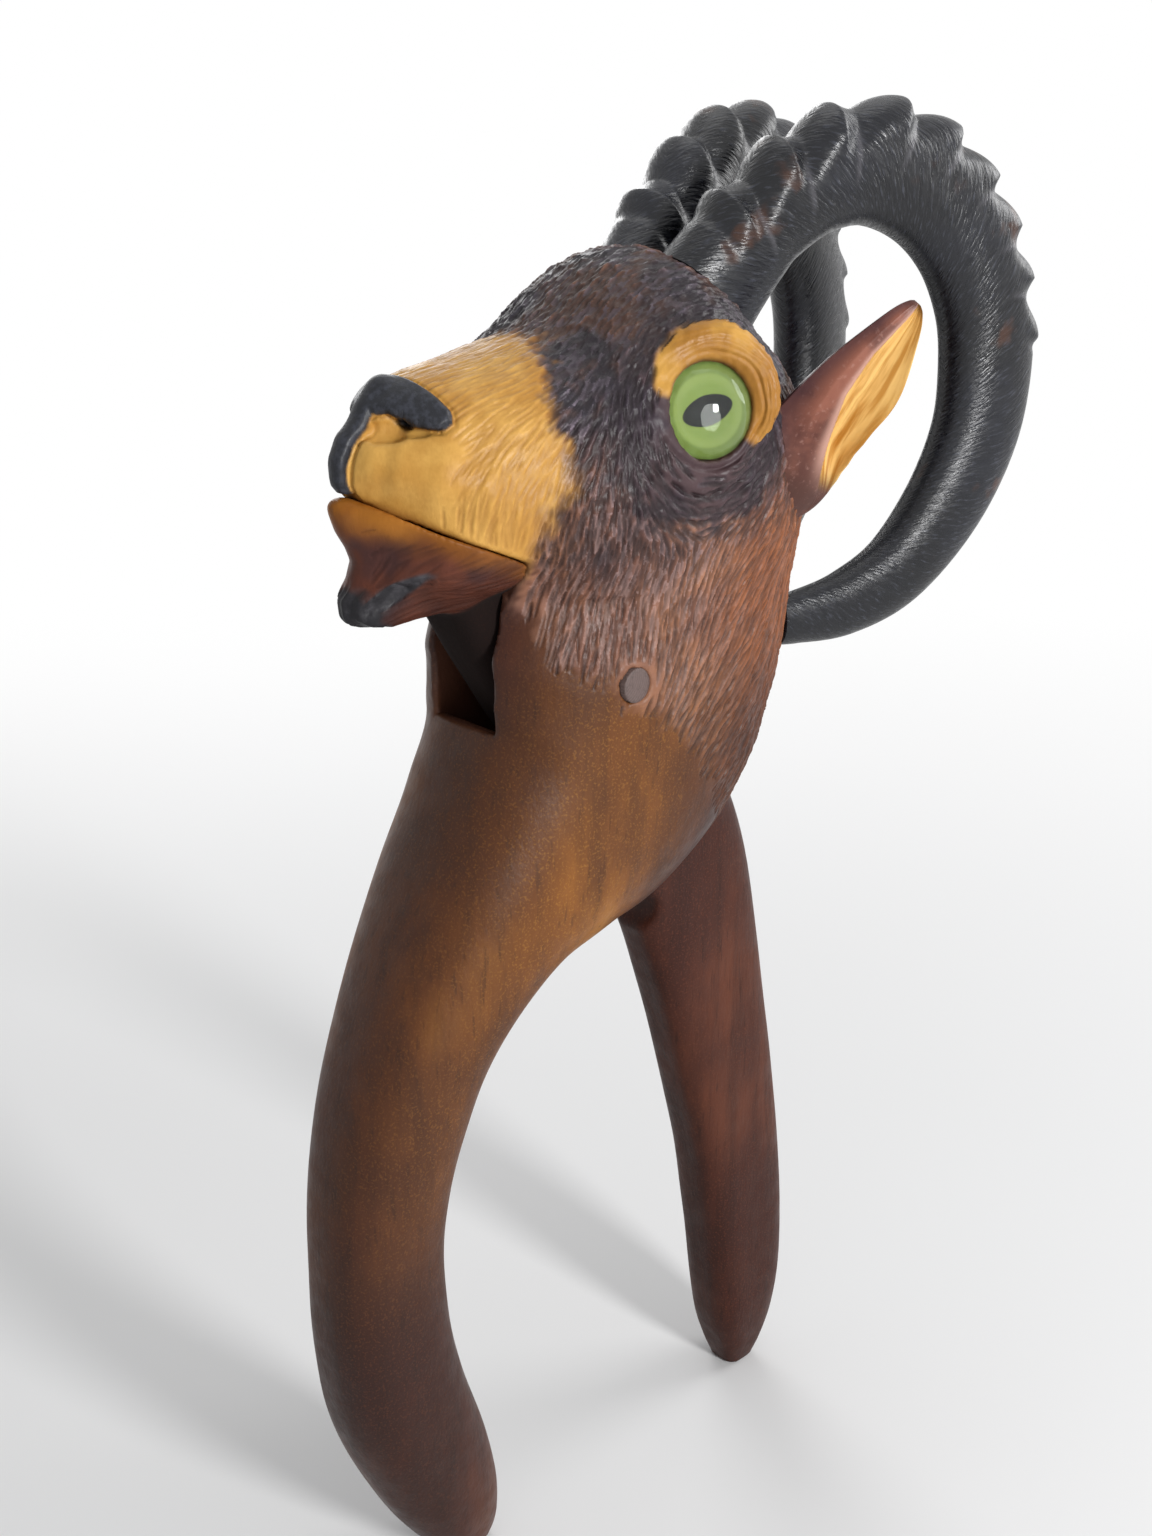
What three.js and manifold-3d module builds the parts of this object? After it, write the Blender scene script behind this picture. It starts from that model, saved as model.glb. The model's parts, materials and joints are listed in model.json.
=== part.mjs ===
// A carved wooden lever nutcracker in the shape of an ibex's head and neck, in millimetres, +Z up.
// The animal looks along -X, the XZ plane is its plane of symmetry, and it stands on its two handles.
// The pieces are laid out around the pivot, and the group sets the front foot's flat at the origin.
import * as THREE from 'three';
import { mergeVertices } from 'three/addons/utils/BufferGeometryUtils.js';
import Module from 'manifold-3d';

// Overall sizes
const pivotHeight = 164;
const footSetback = 24;
const openAngle = 28;
const gap = 0.3;
const overrun = 30;
const weld = 1e-4;

// Head and muzzle, measured from the pivot
const muzzleReach = 38.6;
const headLength = 85;
const headHeight = 63;
const headWidth = 46.4;
const browThickness = 6.2;
const lidThickness = 3.4;
const browInset = 2.4;
const lidInset = 1.4;
const nosePadLength = 11;
const nosePadHeight = 8;
const nosePadWidth = 20;
const nostrilLength = 6;
const nostrilWidth = 4;
const nostrilHeight = 3.6;

// Neck and front handle
const neckSetback = 13;
const neckDepth = 67;
const neckWidth = 41.4;
const handleReach = 39.2;
const handleDepth = 22.8;
const handleWidth = 18.8;

// Slot, jaw, beard and rear handle
const slotWidth = 14;
const slotClearance = 0.4;
const slotDrop = 7;
const tongueDepth = 27.6;
const rearHandleReach = 51.3;
const rearHandleDepth = 24;
const beardHeight = 8.4;
const beardWidth = 12;
const nutHollowLength = 20;
const nutHollowWidth = 20;
const upperHollowDepth = 8;
const lowerHollowDepth = 4;
const cupHeight = 9;
const cupDepth = 3.4;

// Pivot pin
const pinDiameter = 5.5;

// Horns
const hornReach = 87;
const hornRise = 75;
const hornDepth = 19.8;
const hornWidth = 12.4;
const hornSpacing = 4.4;
const hornSplay = 11.6;
const hornKnobs = 9;
const knobHeight = 2.2;
const hornDowelDiameter = 5;
const hornDowelLength = 16;
const hornPegDiameter = 2.4;
const hornPegLength = 8;

// Ears
const earLength = 33;
const earWidth = 15.6;
const earThickness = 8;
const earWall = 1.5;
const earSeat = 4.5;
const earDowelDiameter = 3;
const earDowelLength = 10;

// Eyes
const eyeDiameter = 14.2;
const eyeBulge = 3.4;
const eyeEdge = 0.8;
const irisThickness = 0.8;

// Counts of points on a ring, of rings between two rows, of horn rings in a row, and of steps in the swing
const ringPoints = 20;
const smallRingPoints = 12;
const pinPoints = 40;
const stepsPerRow = 2;
const hornSteps = 4;
const swingSteps = 4;

const tongueWidth = slotWidth - 2 * slotClearance;
const openTurn = THREE.MathUtils.degToRad(openAngle);
const splayTurn = THREE.MathUtils.degToRad(hornSplay);

const wasm = await Module();
wasm.setup();

// Tables of shares, chosen by hand. Neck rows: setback, height above the pivot in neck depths, depth, width.
const neckShares = [
  [1.23, 0.750, 0.12, 0.24],
  [1.23, 0.690, 0.54, 0.78],
  [1.28, 0.540, 0.84, 1.03],
  [1.34, 0.330, 0.88, 1.05],
  [1.29, 0.165, 0.92, 1.03],
  [1.02, -0.015, 0.985, 1.00],
  [0.66, -0.180, 0.96, 0.975],
];

// Front handle rows: how far it reaches ahead of the pivot, height share, depth, width.
const handleShares = [
  [-0.030, 0.866, 2.42, 2.02],
  [0.200, 0.818, 1.87, 1.90],
  [0.418, 0.771, 1.44, 1.74],
  [0.620, 0.711, 1.17, 1.56],
  [0.778, 0.645, 1.06, 1.37],
  [0.888, 0.576, 1.04, 1.22],
  [0.968, 0.497, 1.00, 1.09],
  [0.995, 0.418, 0.98, 1.00],
  [0.983, 0.326, 1.01, 1.00],
  [0.913, 0.238, 1.03, 1.00],
  [0.765, 0.140, 0.96, 0.95],
  [0.658, 0.073, 0.80, 0.83],
  [0.587, 0.030, 0.58, 0.65],
  [0.551, 0, 0.34, 0.42],
];

// Head rows from nose to nape: length, top, bottom (in head heights above the pivot), width.
const headShares = [
  [0.000, 0.535, 0.485, 0.06],
  [0.010, 0.586, 0.426, 0.22],
  [0.034, 0.646, 0.358, 0.36],
  [0.068, 0.698, 0.298, 0.48],
  [0.113, 0.732, 0.243, 0.58],
  [0.172, 0.751, 0.214, 0.66],
  [0.236, 0.765, 0.212, 0.725],
  [0.313, 0.788, 0.218, 0.79],
  [0.384, 0.815, 0.215, 0.845],
  [0.442, 0.860, 0.206, 0.892],
  [0.501, 0.922, 0.175, 0.94],
  [0.566, 0.975, 0.143, 0.98],
  [0.642, 1.000, 0.127, 1.00],
  [0.724, 0.971, 0.111, 0.975],
  [0.807, 0.895, 0.111, 0.90],
  [0.889, 0.770, 0.127, 0.77],
  [0.954, 0.619, 0.175, 0.55],
  [0.992, 0.476, 0.270, 0.26],
  [1.000, 0.413, 0.333, 0.05],
];

// The mouth line and the back of the jaw, from the lips to below the chin: reach, head height shares.
const mouthShares = [
  [-1.300, 0.530],
  [-1.020, 0.524],
  [-0.960, 0.489],
  [-0.880, 0.454],
  [-0.777, 0.419],
  [-0.648, 0.384],
  [-0.518, 0.350],
  [-0.434, 0.326],
  [-0.412, 0.292],
  [-0.416, 0.212],
  [-0.531, 0.048],
  [-0.570, -0.127],
  [-1.300, -0.127],
];
const jawBackRow = 8;

// Tongue rows: reach in rear handle reaches, height in pivot heights, depth.
const tongueShares = [
  [-0.468, 0.110, 0.26],
  [-0.370, 0.093, 0.40],
  [-0.214, 0.056, 0.70],
  [0, 0, 1.00],
  [0.224, -0.073, 1.01],
];
const pivotRow = 3;

// Rear handle rows, in the same measures, with the width last.
const rearHandleShares = [
  [0.396, -0.149, 1.20, 1.00],
  [0.532, -0.229, 1.22, 1.00],
  [0.643, -0.311, 1.17, 1.00],
  [0.765, -0.451, 1.04, 1.00],
  [0.881, -0.604, 0.95, 1.00],
  [0.961, -0.747, 0.89, 1.00],
  [0.994, -0.854, 0.82, 0.98],
  [1.000, -0.924, 0.68, 0.90],
  [0.998, -0.970, 0.48, 0.74],
  [0.996, -1.000, 0.30, 0.55],
];

// Beard rows from the chin to its tip: reach and height in the head's measures, height, width.
const beardShares = [
  [-0.560, 0.265, 0.60, 0.86],
  [-0.700, 0.250, 0.92, 1.00],
  [-0.840, 0.232, 1.00, 0.98],
  [-0.940, 0.216, 0.94, 0.86],
  [-0.990, 0.206, 0.60, 0.62],
];

// Horn rows from root to tip: reach, rise above the pivot, depth, width.
const hornShares = [
  [0.305, 0.735, 0.96, 1.00],
  [0.339, 0.781, 0.92, 1.00],
  [0.384, 0.838, 0.88, 1.00],
  [0.438, 0.896, 0.86, 0.98],
  [0.547, 0.968, 0.90, 0.96],
  [0.676, 0.996, 0.98, 0.94],
  [0.815, 0.950, 1.02, 0.92],
  [0.923, 0.843, 0.99, 0.92],
  [0.990, 0.700, 0.97, 0.90],
  [1.012, 0.556, 0.97, 0.88],
  [0.998, 0.395, 0.92, 0.86],
  [0.926, 0.231, 0.84, 0.82],
  [0.806, 0.090, 0.71, 0.75],
  [0.672, 0.026, 0.59, 0.66],
  [0.546, 0.010, 0.46, 0.56],
  [0.500, 0.010, 0.42, 0.52],
];
const knobbedShare = 0.56;

// Ear rows from root to tip: length, bend, width, thickness.
const earShares = [
  [0.00, 0.00, 0.66, 0.86],
  [0.14, 0.01, 0.80, 0.95],
  [0.30, 0.03, 0.97, 1.00],
  [0.46, 0.04, 1.00, 0.95],
  [0.62, 0.03, 0.88, 0.80],
  [0.78, 0.00, 0.64, 0.60],
  [0.91, -0.05, 0.36, 0.38],
  [1.00, -0.09, 0.08, 0.12],
];
const earHollowRows = 5;

// Where features sit: muzzle reaches behind the pivot, head heights above it, half head widths aside.
const eyePlaceShares = [0.300, 0.641, 0.960];
const nosePlaceShares = [-0.770, 0.652];
const nostrilPlaceShares = [-0.850, 0.640, 0.365];
const hollowPlaceShares = [-0.640, 0.390];
// The arcs of brow and lower lid round the eye, in half turns from the back of the eye, upwards.
const browArcShares = [-0.12, 1.02];
const lidArcShares = [1.08, 1.82];
const foldEndShare = 0.3;
const foldPower = 0.6;
const earRootShares = [0.830, 0.455, 0.800];
const cupHeightShares = [-0.2415, -0.2975];
const earDirection = new THREE.Vector3(0.38, 0.52, 0.75);
const earFacing = new THREE.Vector3(-0.1, 1, 0.15);
const eyeFacing = new THREE.Vector3(-0.28, 0.95, 0.14);
const noseTilt = 0.5;

// Powers of the oval sections: 2 is an ellipse, more is squarer
const neckPower = 2.3;
const handlePower = 2.5;
const headPower = 2.25;
const plankPower = 4;
const rearHandlePower = 3.2;
const hornPower = 2.3;

const materials = {
  wood: new THREE.MeshStandardMaterial({ color: 0x7a4a24, roughness: 0.5, metalness: 0 }),
  darkWood: new THREE.MeshStandardMaterial({ color: 0x5a2f1c, roughness: 0.45, metalness: 0 }),
  horn: new THREE.MeshStandardMaterial({ color: 0x23201f, roughness: 0.4, metalness: 0 }),
  ear: new THREE.MeshStandardMaterial({ color: 0x8a4a26, roughness: 0.5, metalness: 0 }),
  glass: new THREE.MeshStandardMaterial({ color: 0xd8e4d8, roughness: 0.05, metalness: 0 }),
  iris: new THREE.MeshStandardMaterial({ color: 0x7aa04a, roughness: 0.4, metalness: 0 }),
  steel: new THREE.MeshStandardMaterial({ color: 0x9a9c9e, roughness: 0.35, metalness: 1 }),
  plug: new THREE.MeshStandardMaterial({ color: 0x5b4d42, roughness: 0.6, metalness: 0 }),
  dowel: new THREE.MeshStandardMaterial({ color: 0xc9a06a, roughness: 0.7, metalness: 0 }),
};

// Rows of numbers, smoothed into more rows by a Catmull-Rom curve through each column.
function smoothRows(rows, steps = stepsPerRow) {
  const smooth = [];
  for (let i = 0; i < rows.length - 1; i++) {
    const before = rows[Math.max(i - 1, 0)];
    const after = rows[Math.min(i + 2, rows.length - 1)];
    for (let s = 0; s < steps; s++) {
      const t = s / steps;
      smooth.push(rows[i].map((value, k) => {
        const next = rows[i + 1][k];
        const rise = (next - before[k]) / 2;
        const fall = (after[k] - value) / 2;
        const [h1, h2] = [t * t * (3 - 2 * t), t * (1 - t) * (1 - t)];
        return value * (1 - h1) + next * h1 + rise * h2 - fall * t * t * (1 - t);
      }));
    }
  }
  smooth.push(rows[rows.length - 1]);
  return smooth;
}

// One closed oval of points around a centre, in the plane of two unit vectors.
function ovalRing(centre, across, along, halfAcross, halfAlong, power, count = ringPoints) {
  const ring = [];
  for (let i = 0; i < count; i++) {
    const angle = 2 * Math.PI * i / count;
    const [c, s] = [Math.cos(angle), Math.sin(angle)];
    const u = halfAcross * Math.sign(c) * Math.abs(c) ** (2 / power);
    const v = halfAlong * Math.sign(s) * Math.abs(s) ** (2 / power);
    ring.push(centre.clone().addScaledVector(across, u).addScaledVector(along, v));
  }
  return ring;
}

// A closed skin over rings of equal count, with a fan over each end.
function loft(rings) {
  const count = rings[0].length;
  const points = rings.flat();
  const faces = [];
  for (let r = 0; r < rings.length - 1; r++) {
    for (let i = 0; i < count; i++) {
      const [a, b] = [r * count + i, r * count + (i + 1) % count];
      faces.push(a, b, b + count, a, b + count, a + count);
    }
  }
  for (const [ring, first, turned] of [[rings[0], 0, true], [rings.at(-1), points.length - count, false]]) {
    const middle = ring.reduce((sum, p) => sum.add(p), new THREE.Vector3()).divideScalar(count);
    const hub = points.push(middle) - 1;
    for (let i = 0; i < count; i++) {
      const [a, b] = [first + i, first + (i + 1) % count];
      faces.push(...(turned ? [hub, b, a] : [hub, a, b]));
    }
  }
  const geometry = new THREE.BufferGeometry().setFromPoints(points);
  geometry.setIndex(faces);
  return facingOut(geometry);
}

// The volume tells which way the faces point, and they are turned when it is negative.
function facingOut(geometry) {
  const [at, faces] = [geometry.attributes.position, geometry.index.array];
  const [a, b, c] = [new THREE.Vector3(), new THREE.Vector3(), new THREE.Vector3()];
  let volume = 0;
  for (let i = 0; i < faces.length; i += 3) {
    [a, b, c].forEach((corner, k) => corner.fromBufferAttribute(at, faces[i + k]));
    volume += a.dot(b.cross(c));
  }
  if (volume < 0) {
    const turned = Array.from(faces);
    for (let i = 0; i < turned.length; i += 3) [turned[i], turned[i + 1]] = [turned[i + 1], turned[i]];
    geometry.setIndex(turned);
  }
  return geometry;
}

function bareGeometry(geometry) {
  const bare = geometry.clone();
  bare.deleteAttribute('normal');
  bare.deleteAttribute('uv');
  return bare;
}

// A geometry as a solid that can be joined and cut.
function solid(geometry) {
  const merged = mergeVertices(bareGeometry(geometry), weld);
  const vertProperties = new Float32Array(merged.attributes.position.array);
  const triVerts = new Uint32Array(merged.index.array);
  return new wasm.Manifold(new wasm.Mesh({ numProp: 3, vertProperties, triVerts }));
}

// A solid as a named mesh.
function piece(name, body, material) {
  const mesh = body.getMesh();
  const geometry = new THREE.BufferGeometry();
  geometry.setAttribute('position', new THREE.BufferAttribute(new Float32Array(mesh.vertProperties), 3));
  geometry.setIndex(new THREE.BufferAttribute(new Uint32Array(mesh.triVerts), 1));
  geometry.computeVertexNormals();
  const result = new THREE.Mesh(geometry, material);
  result.name = name;
  return result;
}

// A side outline as a solid slab across the plane of symmetry.
function slab(outline, width) {
  const shape = new THREE.Shape(outline.map(([x, z]) => new THREE.Vector2(x, z)));
  const geometry = new THREE.ExtrudeGeometry(shape, { depth: width, bevelEnabled: false });
  geometry.translate(0, 0, -width / 2);
  geometry.rotateX(Math.PI / 2);
  return solid(geometry);
}

// A round bar from one point to another.
function bar(from, to, diameter, sides = ringPoints) {
  const geometry = new THREE.CylinderGeometry(diameter / 2, diameter / 2, from.distanceTo(to), sides);
  const turn = new THREE.Quaternion().setFromUnitVectors(new THREE.Vector3(0, 1, 0),
    to.clone().sub(from).normalize());
  geometry.applyQuaternion(turn);
  geometry.translate(...from.clone().add(to).divideScalar(2));
  return solid(geometry);
}

// An ellipsoid by its three full sizes.
function egg(centre, sizes, turnY = 0, turnZ = 0) {
  const geometry = new THREE.SphereGeometry(1 / 2, ringPoints, smallRingPoints);
  geometry.scale(...sizes);
  geometry.rotateY(turnY);
  geometry.rotateZ(turnZ);
  geometry.translate(...centre);
  return solid(geometry);
}

const acrossY = new THREE.Vector3(0, 1, 0);
const upZ = new THREE.Vector3(0, 0, 1);

// A sweep along a path in the XZ plane, through rows of x, z, depth, width and power.
function sweep(rows) {
  return loft(rows.map(([x, z, depth, width, power], i) => {
    const [before, after] = [rows[Math.max(i - 1, 0)], rows[Math.min(i + 1, rows.length - 1)]];
    const along = new THREE.Vector2(after[0] - before[0], after[1] - before[1]).normalize();
    const across = new THREE.Vector3(-along.y, 0, along.x);
    return ovalRing(new THREE.Vector3(x, 0, z), across, acrossY, depth / 2, width / 2, power);
  }));
}

const inHead = ([reach, height]) => [muzzleReach * reach, headHeight * height];

function neckRows() {
  const neck = neckShares.map(([back, height, depth, width]) =>
    [neckSetback * back, neckDepth * height, neckDepth * depth, neckWidth * width, neckPower]);
  const handle = handleShares.map(([reach, height, depth, width]) =>
    [-handleReach * reach, pivotHeight * (height - 1), handleDepth * depth, handleWidth * width, handlePower]);
  return smoothRows([...neck, ...handle]);
}

function headRings() {
  return smoothRows(headShares).map(([length, top, bottom, width]) => {
    const centre = new THREE.Vector3(headLength * length - muzzleReach, 0, headHeight * (top + bottom) / 2);
    const halfHeight = headHeight * (top - bottom) / 2;
    return ovalRing(centre, new THREE.Vector3(0, 0, 1), acrossY, halfHeight, headWidth * width / 2, headPower);
  });
}

function plankRows() {
  const tongue = tongueShares.map(([reach, height, depth]) =>
    [rearHandleReach * reach, pivotHeight * height, tongueDepth * depth, tongueWidth, plankPower]);
  const handle = rearHandleShares.map(([reach, height, depth, width]) =>
    [rearHandleReach * reach, pivotHeight * height, rearHandleDepth * depth, tongueWidth * width,
      rearHandlePower]);
  return [...tongue, ...handle];
}

// The edge of the lever's plank, seen from the side: side 1 is above and behind, -1 below and in front.
function plankEdge(rows, side, clearance, turn) {
  return rows.map(([x, z, depth], i) => {
    const [before, after] = [rows[Math.max(i - 1, 0)], rows[Math.min(i + 1, rows.length - 1)]];
    const along = new THREE.Vector2(after[0] - before[0], after[1] - before[1]).normalize();
    const reach = side * (depth / 2 + clearance);
    const point = new THREE.Vector2(x - along.y * reach, z + along.x * reach);
    return point.rotateAround(new THREE.Vector2(), turn).toArray();
  });
}

// The slot: an opening under the jaw, and the room that the lever sweeps from closed to open.
function slotCut() {
  const rows = smoothRows(plankRows());
  const room = 2 * slotClearance;
  const pivotRing = pivotRow * stepsPerRow;
  const [mouthX] = inHead(mouthShares[jawBackRow]);
  let cut = slab([
    [mouthX - slotWidth, -slotDrop], [mouthX, -slotDrop], plankEdge(rows, -1, room, 0)[pivotRing],
    ...plankEdge(rows, 1, room, 0).slice(0, pivotRing + 1).reverse(),
  ], slotWidth);
  for (let i = 0; i <= swingSteps; i++) {
    const turn = openTurn * i / swingSteps;
    const outline = [...plankEdge(rows, -1, room, turn), ...plankEdge(rows, 1, room, turn).reverse()];
    cut = cut.add(slab(outline, slotWidth));
  }
  return cut;
}

function jawSpace(shift) {
  return slab(mouthShares.map(inHead).map(([x, z]) => [x - shift, z - shift]), 2 * headWidth);
}

// The floor under both feet, as a block that cuts them flat.
function floorBlock() {
  const [reach, low] = [handleReach + rearHandleReach + overrun, -pivotHeight - overrun];
  const corners = [[-reach, -pivotHeight], [reach, -pivotHeight], [reach, low], [-reach, low]];
  return slab(corners, 2 * neckWidth);
}

function pinBar(length, diameter) {
  const half = new THREE.Vector3(0, length / 2, 0);
  return bar(half.clone().negate(), half, diameter, pinPoints);
}

// A plug covers each end of the pin, and its outer end follows the neck's side.
const plugInner = (neckWidth - slotWidth) / 4 + slotWidth / 2;
const pinLength = 2 * (plugInner - gap);

function plug(side, neck) {
  const [from, to] = [new THREE.Vector3(0, side * plugInner, 0), new THREE.Vector3(0, side * neckWidth, 0)];
  return bar(from, to, pinDiameter, pinPoints).intersect(neck);
}

// How far along the horn each ring lies, as a share of its length.
function hornPlaces(rows) {
  let length = 0;
  const lengths = rows.map(([reach, rise], i) => {
    const [r, z] = rows[Math.max(i - 1, 0)];
    length += Math.hypot((reach - r) * hornReach, (rise - z) * hornRise);
    return length;
  });
  return lengths.map((at) => at / length);
}

// One ring of a horn. The horn lies in an upright plane that is splayed from the plane of symmetry.
function hornRing([reach, rise, depth, width], i, rows, side, extra, place) {
  const [before, after] = [rows[Math.max(i - 1, 0)], rows[Math.min(i + 1, rows.length - 1)]];
  const plane = new THREE.Vector3(Math.cos(splayTurn), side * Math.sin(splayTurn), 0);
  const run = new THREE.Vector2((after[0] - before[0]) * hornReach, (after[1] - before[1]) * hornRise);
  run.normalize();
  const outward = plane.clone().multiplyScalar(-run.y).addScaledVector(upZ, run.x);
  const centre = hornPoint([reach, rise], side);
  const [halfDepth, halfWidth] = [hornDepth * depth / 2 + extra, hornWidth * width / 2 + extra];
  const wave = place < knobbedShare ? Math.cos(2 * Math.PI * hornKnobs * place / knobbedShare) : 0;
  const ring = ovalRing(centre, outward, plane.clone().cross(upZ), halfDepth, halfWidth, hornPower,
    smallRingPoints);
  return ring.map((point) => {
    const outer = Math.max(0, point.clone().sub(centre).dot(outward) / halfDepth);
    return point.addScaledVector(outward, -knobHeight / 2 * wave * outer);
  });
}

function hornPoint([reach, rise], side) {
  const x = hornReach * reach * Math.cos(splayTurn);
  return new THREE.Vector3(x, side * (hornSpacing / 2 + x * Math.tan(splayTurn)), hornRise * rise);
}

function horn(side, extra = 0) {
  const rows = smoothRows(hornShares, hornSteps);
  const places = hornPlaces(rows);
  return solid(loft(rows.map((row, i) => hornRing(row, i, rows, side, extra, places[i]))));
}

// A dowel half in the horn's root and half in the head, in line with the horn there.
function hornDowel(side, extra = 0) {
  const [root, next] = [hornPoint(hornShares[0], side), hornPoint(hornShares[1], side)];
  const half = next.sub(root).setLength(hornDowelLength / 2 + extra);
  return bar(root.clone().sub(half), root.clone().add(half), hornDowelDiameter + 2 * extra, smallRingPoints);
}

// A peg half in the horn's tip and half in the neck.
function hornPeg(side, extra = 0) {
  const [tip, before] = [hornPoint(hornShares.at(-1), side), hornPoint(hornShares.at(-2), side)];
  const half = before.sub(tip).setLength(hornPegLength / 2 + extra);
  return bar(tip.clone().sub(half), tip.clone().add(half), hornPegDiameter + 2 * extra, smallRingPoints);
}

const mirrored = (vector, side) => new THREE.Vector3(vector.x, side * vector.y, vector.z);

// The place of a feature on the head, on one side of it.
function headPlace([reach, height, aside], side) {
  return new THREE.Vector3(muzzleReach * reach, side * headWidth / 2 * aside, headHeight * height);
}

// Unit vectors along a length, across it, and out of its face.
function directions(length, facing) {
  const along = length.clone().normalize();
  const out = facing.clone().addScaledVector(along, -facing.dot(along)).normalize();
  return [along, out.clone().cross(along), out];
}

// An ear's leaf, grown by extra, or shrunk by a wall and moved out to scoop its hollow.
function earLeaf(side, extra, lift, rows) {
  const [along, across, out] = directions(mirrored(earDirection, side), mirrored(earFacing, side));
  const root = headPlace(earRootShares, side).addScaledVector(along, -earSeat);
  return solid(loft(smoothRows(rows).map(([length, bend, width, thickness]) => {
    const centre = root.clone().addScaledVector(along, (earLength + earSeat) * length);
    centre.addScaledVector(out, earThickness * bend + lift * thickness);
    return ovalRing(centre, across, out, Math.max(earWidth * width / 2 + extra, weld),
      Math.max(earThickness * thickness / 2 + extra, weld), 2, smallRingPoints);
  })));
}

function ear(side) {
  const rows = earShares.slice(-earHollowRows - 1, -1);
  const hollow = earLeaf(side, -earWall, earThickness / 2, rows);
  return earLeaf(side, 0, 0, earShares).subtract(hollow);
}

function earDowel(side, extra = 0) {
  const [along] = directions(mirrored(earDirection, side), mirrored(earFacing, side));
  const seat = headPlace(earRootShares, side).addScaledVector(along, -earSeat);
  const half = along.multiplyScalar(earDowelLength / 2 + extra);
  return bar(seat.clone().sub(half), seat.clone().add(half), earDowelDiameter + 2 * extra, smallRingPoints);
}

// A round piece turned about the eye's axis, from a profile of radius and depth, placed on one side.
function eyePiece(side, profile) {
  const geometry = new THREE.LatheGeometry(profile.map(([r, y]) => new THREE.Vector2(r, y)), ringPoints);
  const facing = mirrored(eyeFacing, side).normalize();
  geometry.applyQuaternion(new THREE.Quaternion().setFromUnitVectors(acrossY, facing));
  geometry.translate(...headPlace(eyePlaceShares, side));
  return solid(facingOut(mergeVertices(bareGeometry(geometry), weld)));
}

// The glass: a cap of a sphere on a short edge, flat behind.
function eyeLens(side) {
  const half = eyeDiameter / 2;
  const sphere = (half ** 2 + eyeBulge ** 2) / (2 * eyeBulge);
  const widest = Math.asin(half / sphere);
  const profile = [[0, -eyeEdge], [half, -eyeEdge]];
  for (let i = 0; i <= smallRingPoints / 2; i++) {
    const angle = widest * (1 - 2 * i / smallRingPoints);
    profile.push([sphere * Math.sin(angle), sphere * Math.cos(angle) - (sphere - eyeBulge)]);
  }
  return eyePiece(side, profile);
}

// The painted disc behind the glass.
function eyeIris(side) {
  const [half, front] = [eyeDiameter / 2, -eyeEdge - gap];
  const back = front - irisThickness;
  return eyePiece(side, [[0, front], [0, back], [half, back], [half, front], [0, front]]);
}

// The socket: a round hole that holds the disc and the glass with a gap all round.
function eyeSocket(side) {
  const [half, floor] = [eyeDiameter / 2 + gap, -eyeEdge - irisThickness - 2 * gap];
  return eyePiece(side, [[0, floor], [half, floor], [half, overrun], [0, overrun]]);
}

// A fold of skin round part of the eye, thickest in the middle of its arc.
function eyeFold(side, [from, to], thickness, inset) {
  const [out, across, up] = directions(mirrored(eyeFacing, side), upZ);
  const behind = across.multiplyScalar(-side);
  const centre = headPlace(eyePlaceShares, side).addScaledVector(out, -inset);
  const rings = [];
  for (let i = 0; i <= smallRingPoints; i++) {
    const share = i / smallRingPoints;
    const turn = Math.PI * (from + (to - from) * share);
    const swell = Math.sin(Math.PI * share) ** foldPower;
    const half = thickness / 2 * (foldEndShare + (1 - foldEndShare) * swell);
    const spoke = behind.clone().multiplyScalar(Math.cos(turn)).addScaledVector(up, Math.sin(turn));
    const middle = centre.clone().addScaledVector(spoke, (eyeDiameter + thickness) / 2);
    rings.push(ovalRing(middle, spoke, out, half, half, 2, smallRingPoints));
  }
  return solid(loft(rings));
}

function nutHollow(depth) {
  const [x, z] = inHead(hollowPlaceShares);
  return egg(new THREE.Vector3(x, 0, z), [nutHollowLength, nutHollowWidth, 2 * depth]);
}

// Two cross scoops in the front edge of the rear handle, just below the neck.
function cups() {
  const edge = plankEdge(smoothRows(plankRows()), -1, 0, 0);
  const radius = (cupHeight ** 2 / 4 + cupDepth ** 2) / (2 * cupDepth);
  return cupHeightShares.map((share) => {
    const z = pivotHeight * share;
    const next = edge.findIndex(([, height], i) => i > pivotRow * stepsPerRow && height < z);
    const [[x0, z0], [x1, z1]] = [edge[next - 1], edge[next]];
    const x = x0 + (x1 - x0) * (z - z0) / (z1 - z0) - (radius - cupDepth);
    return bar(new THREE.Vector3(x, -slotWidth, z), new THREE.Vector3(x, slotWidth, z), 2 * radius);
  });
}

const sides = [['left', -1], ['right', 1]];

function buildHead() {
  const [noseX, noseZ] = inHead(nosePlaceShares);
  const noseSizes = [nosePadLength, nosePadWidth, nosePadHeight];
  let head = solid(loft(headRings())).add(egg(new THREE.Vector3(noseX, 0, noseZ), noseSizes, noseTilt));
  for (const [, side] of sides) {
    head = head.add(eyeFold(side, browArcShares, browThickness, browInset));
    head = head.add(eyeFold(side, lidArcShares, lidThickness, lidInset));
    const nostril = egg(headPlace(nostrilPlaceShares, side), [nostrilLength, nostrilWidth, nostrilHeight]);
    head = head.subtract(nostril);
  }
  return head;
}

function buildBody(head, neck) {
  let body = neck.add(head);
  const cuts = [jawSpace(0), slotCut(), floorBlock(), nutHollow(upperHollowDepth),
    pinBar(neckWidth + overrun, pinDiameter + 2 * gap)];
  for (const [, side] of sides) {
    cuts.push(horn(side, gap), hornDowel(side, gap), hornPeg(side, gap));
    cuts.push(earLeaf(side, gap, 0, earShares), earDowel(side, gap), eyeSocket(side));
  }
  for (const cut of cuts) body = body.subtract(cut);
  return body;
}

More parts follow.
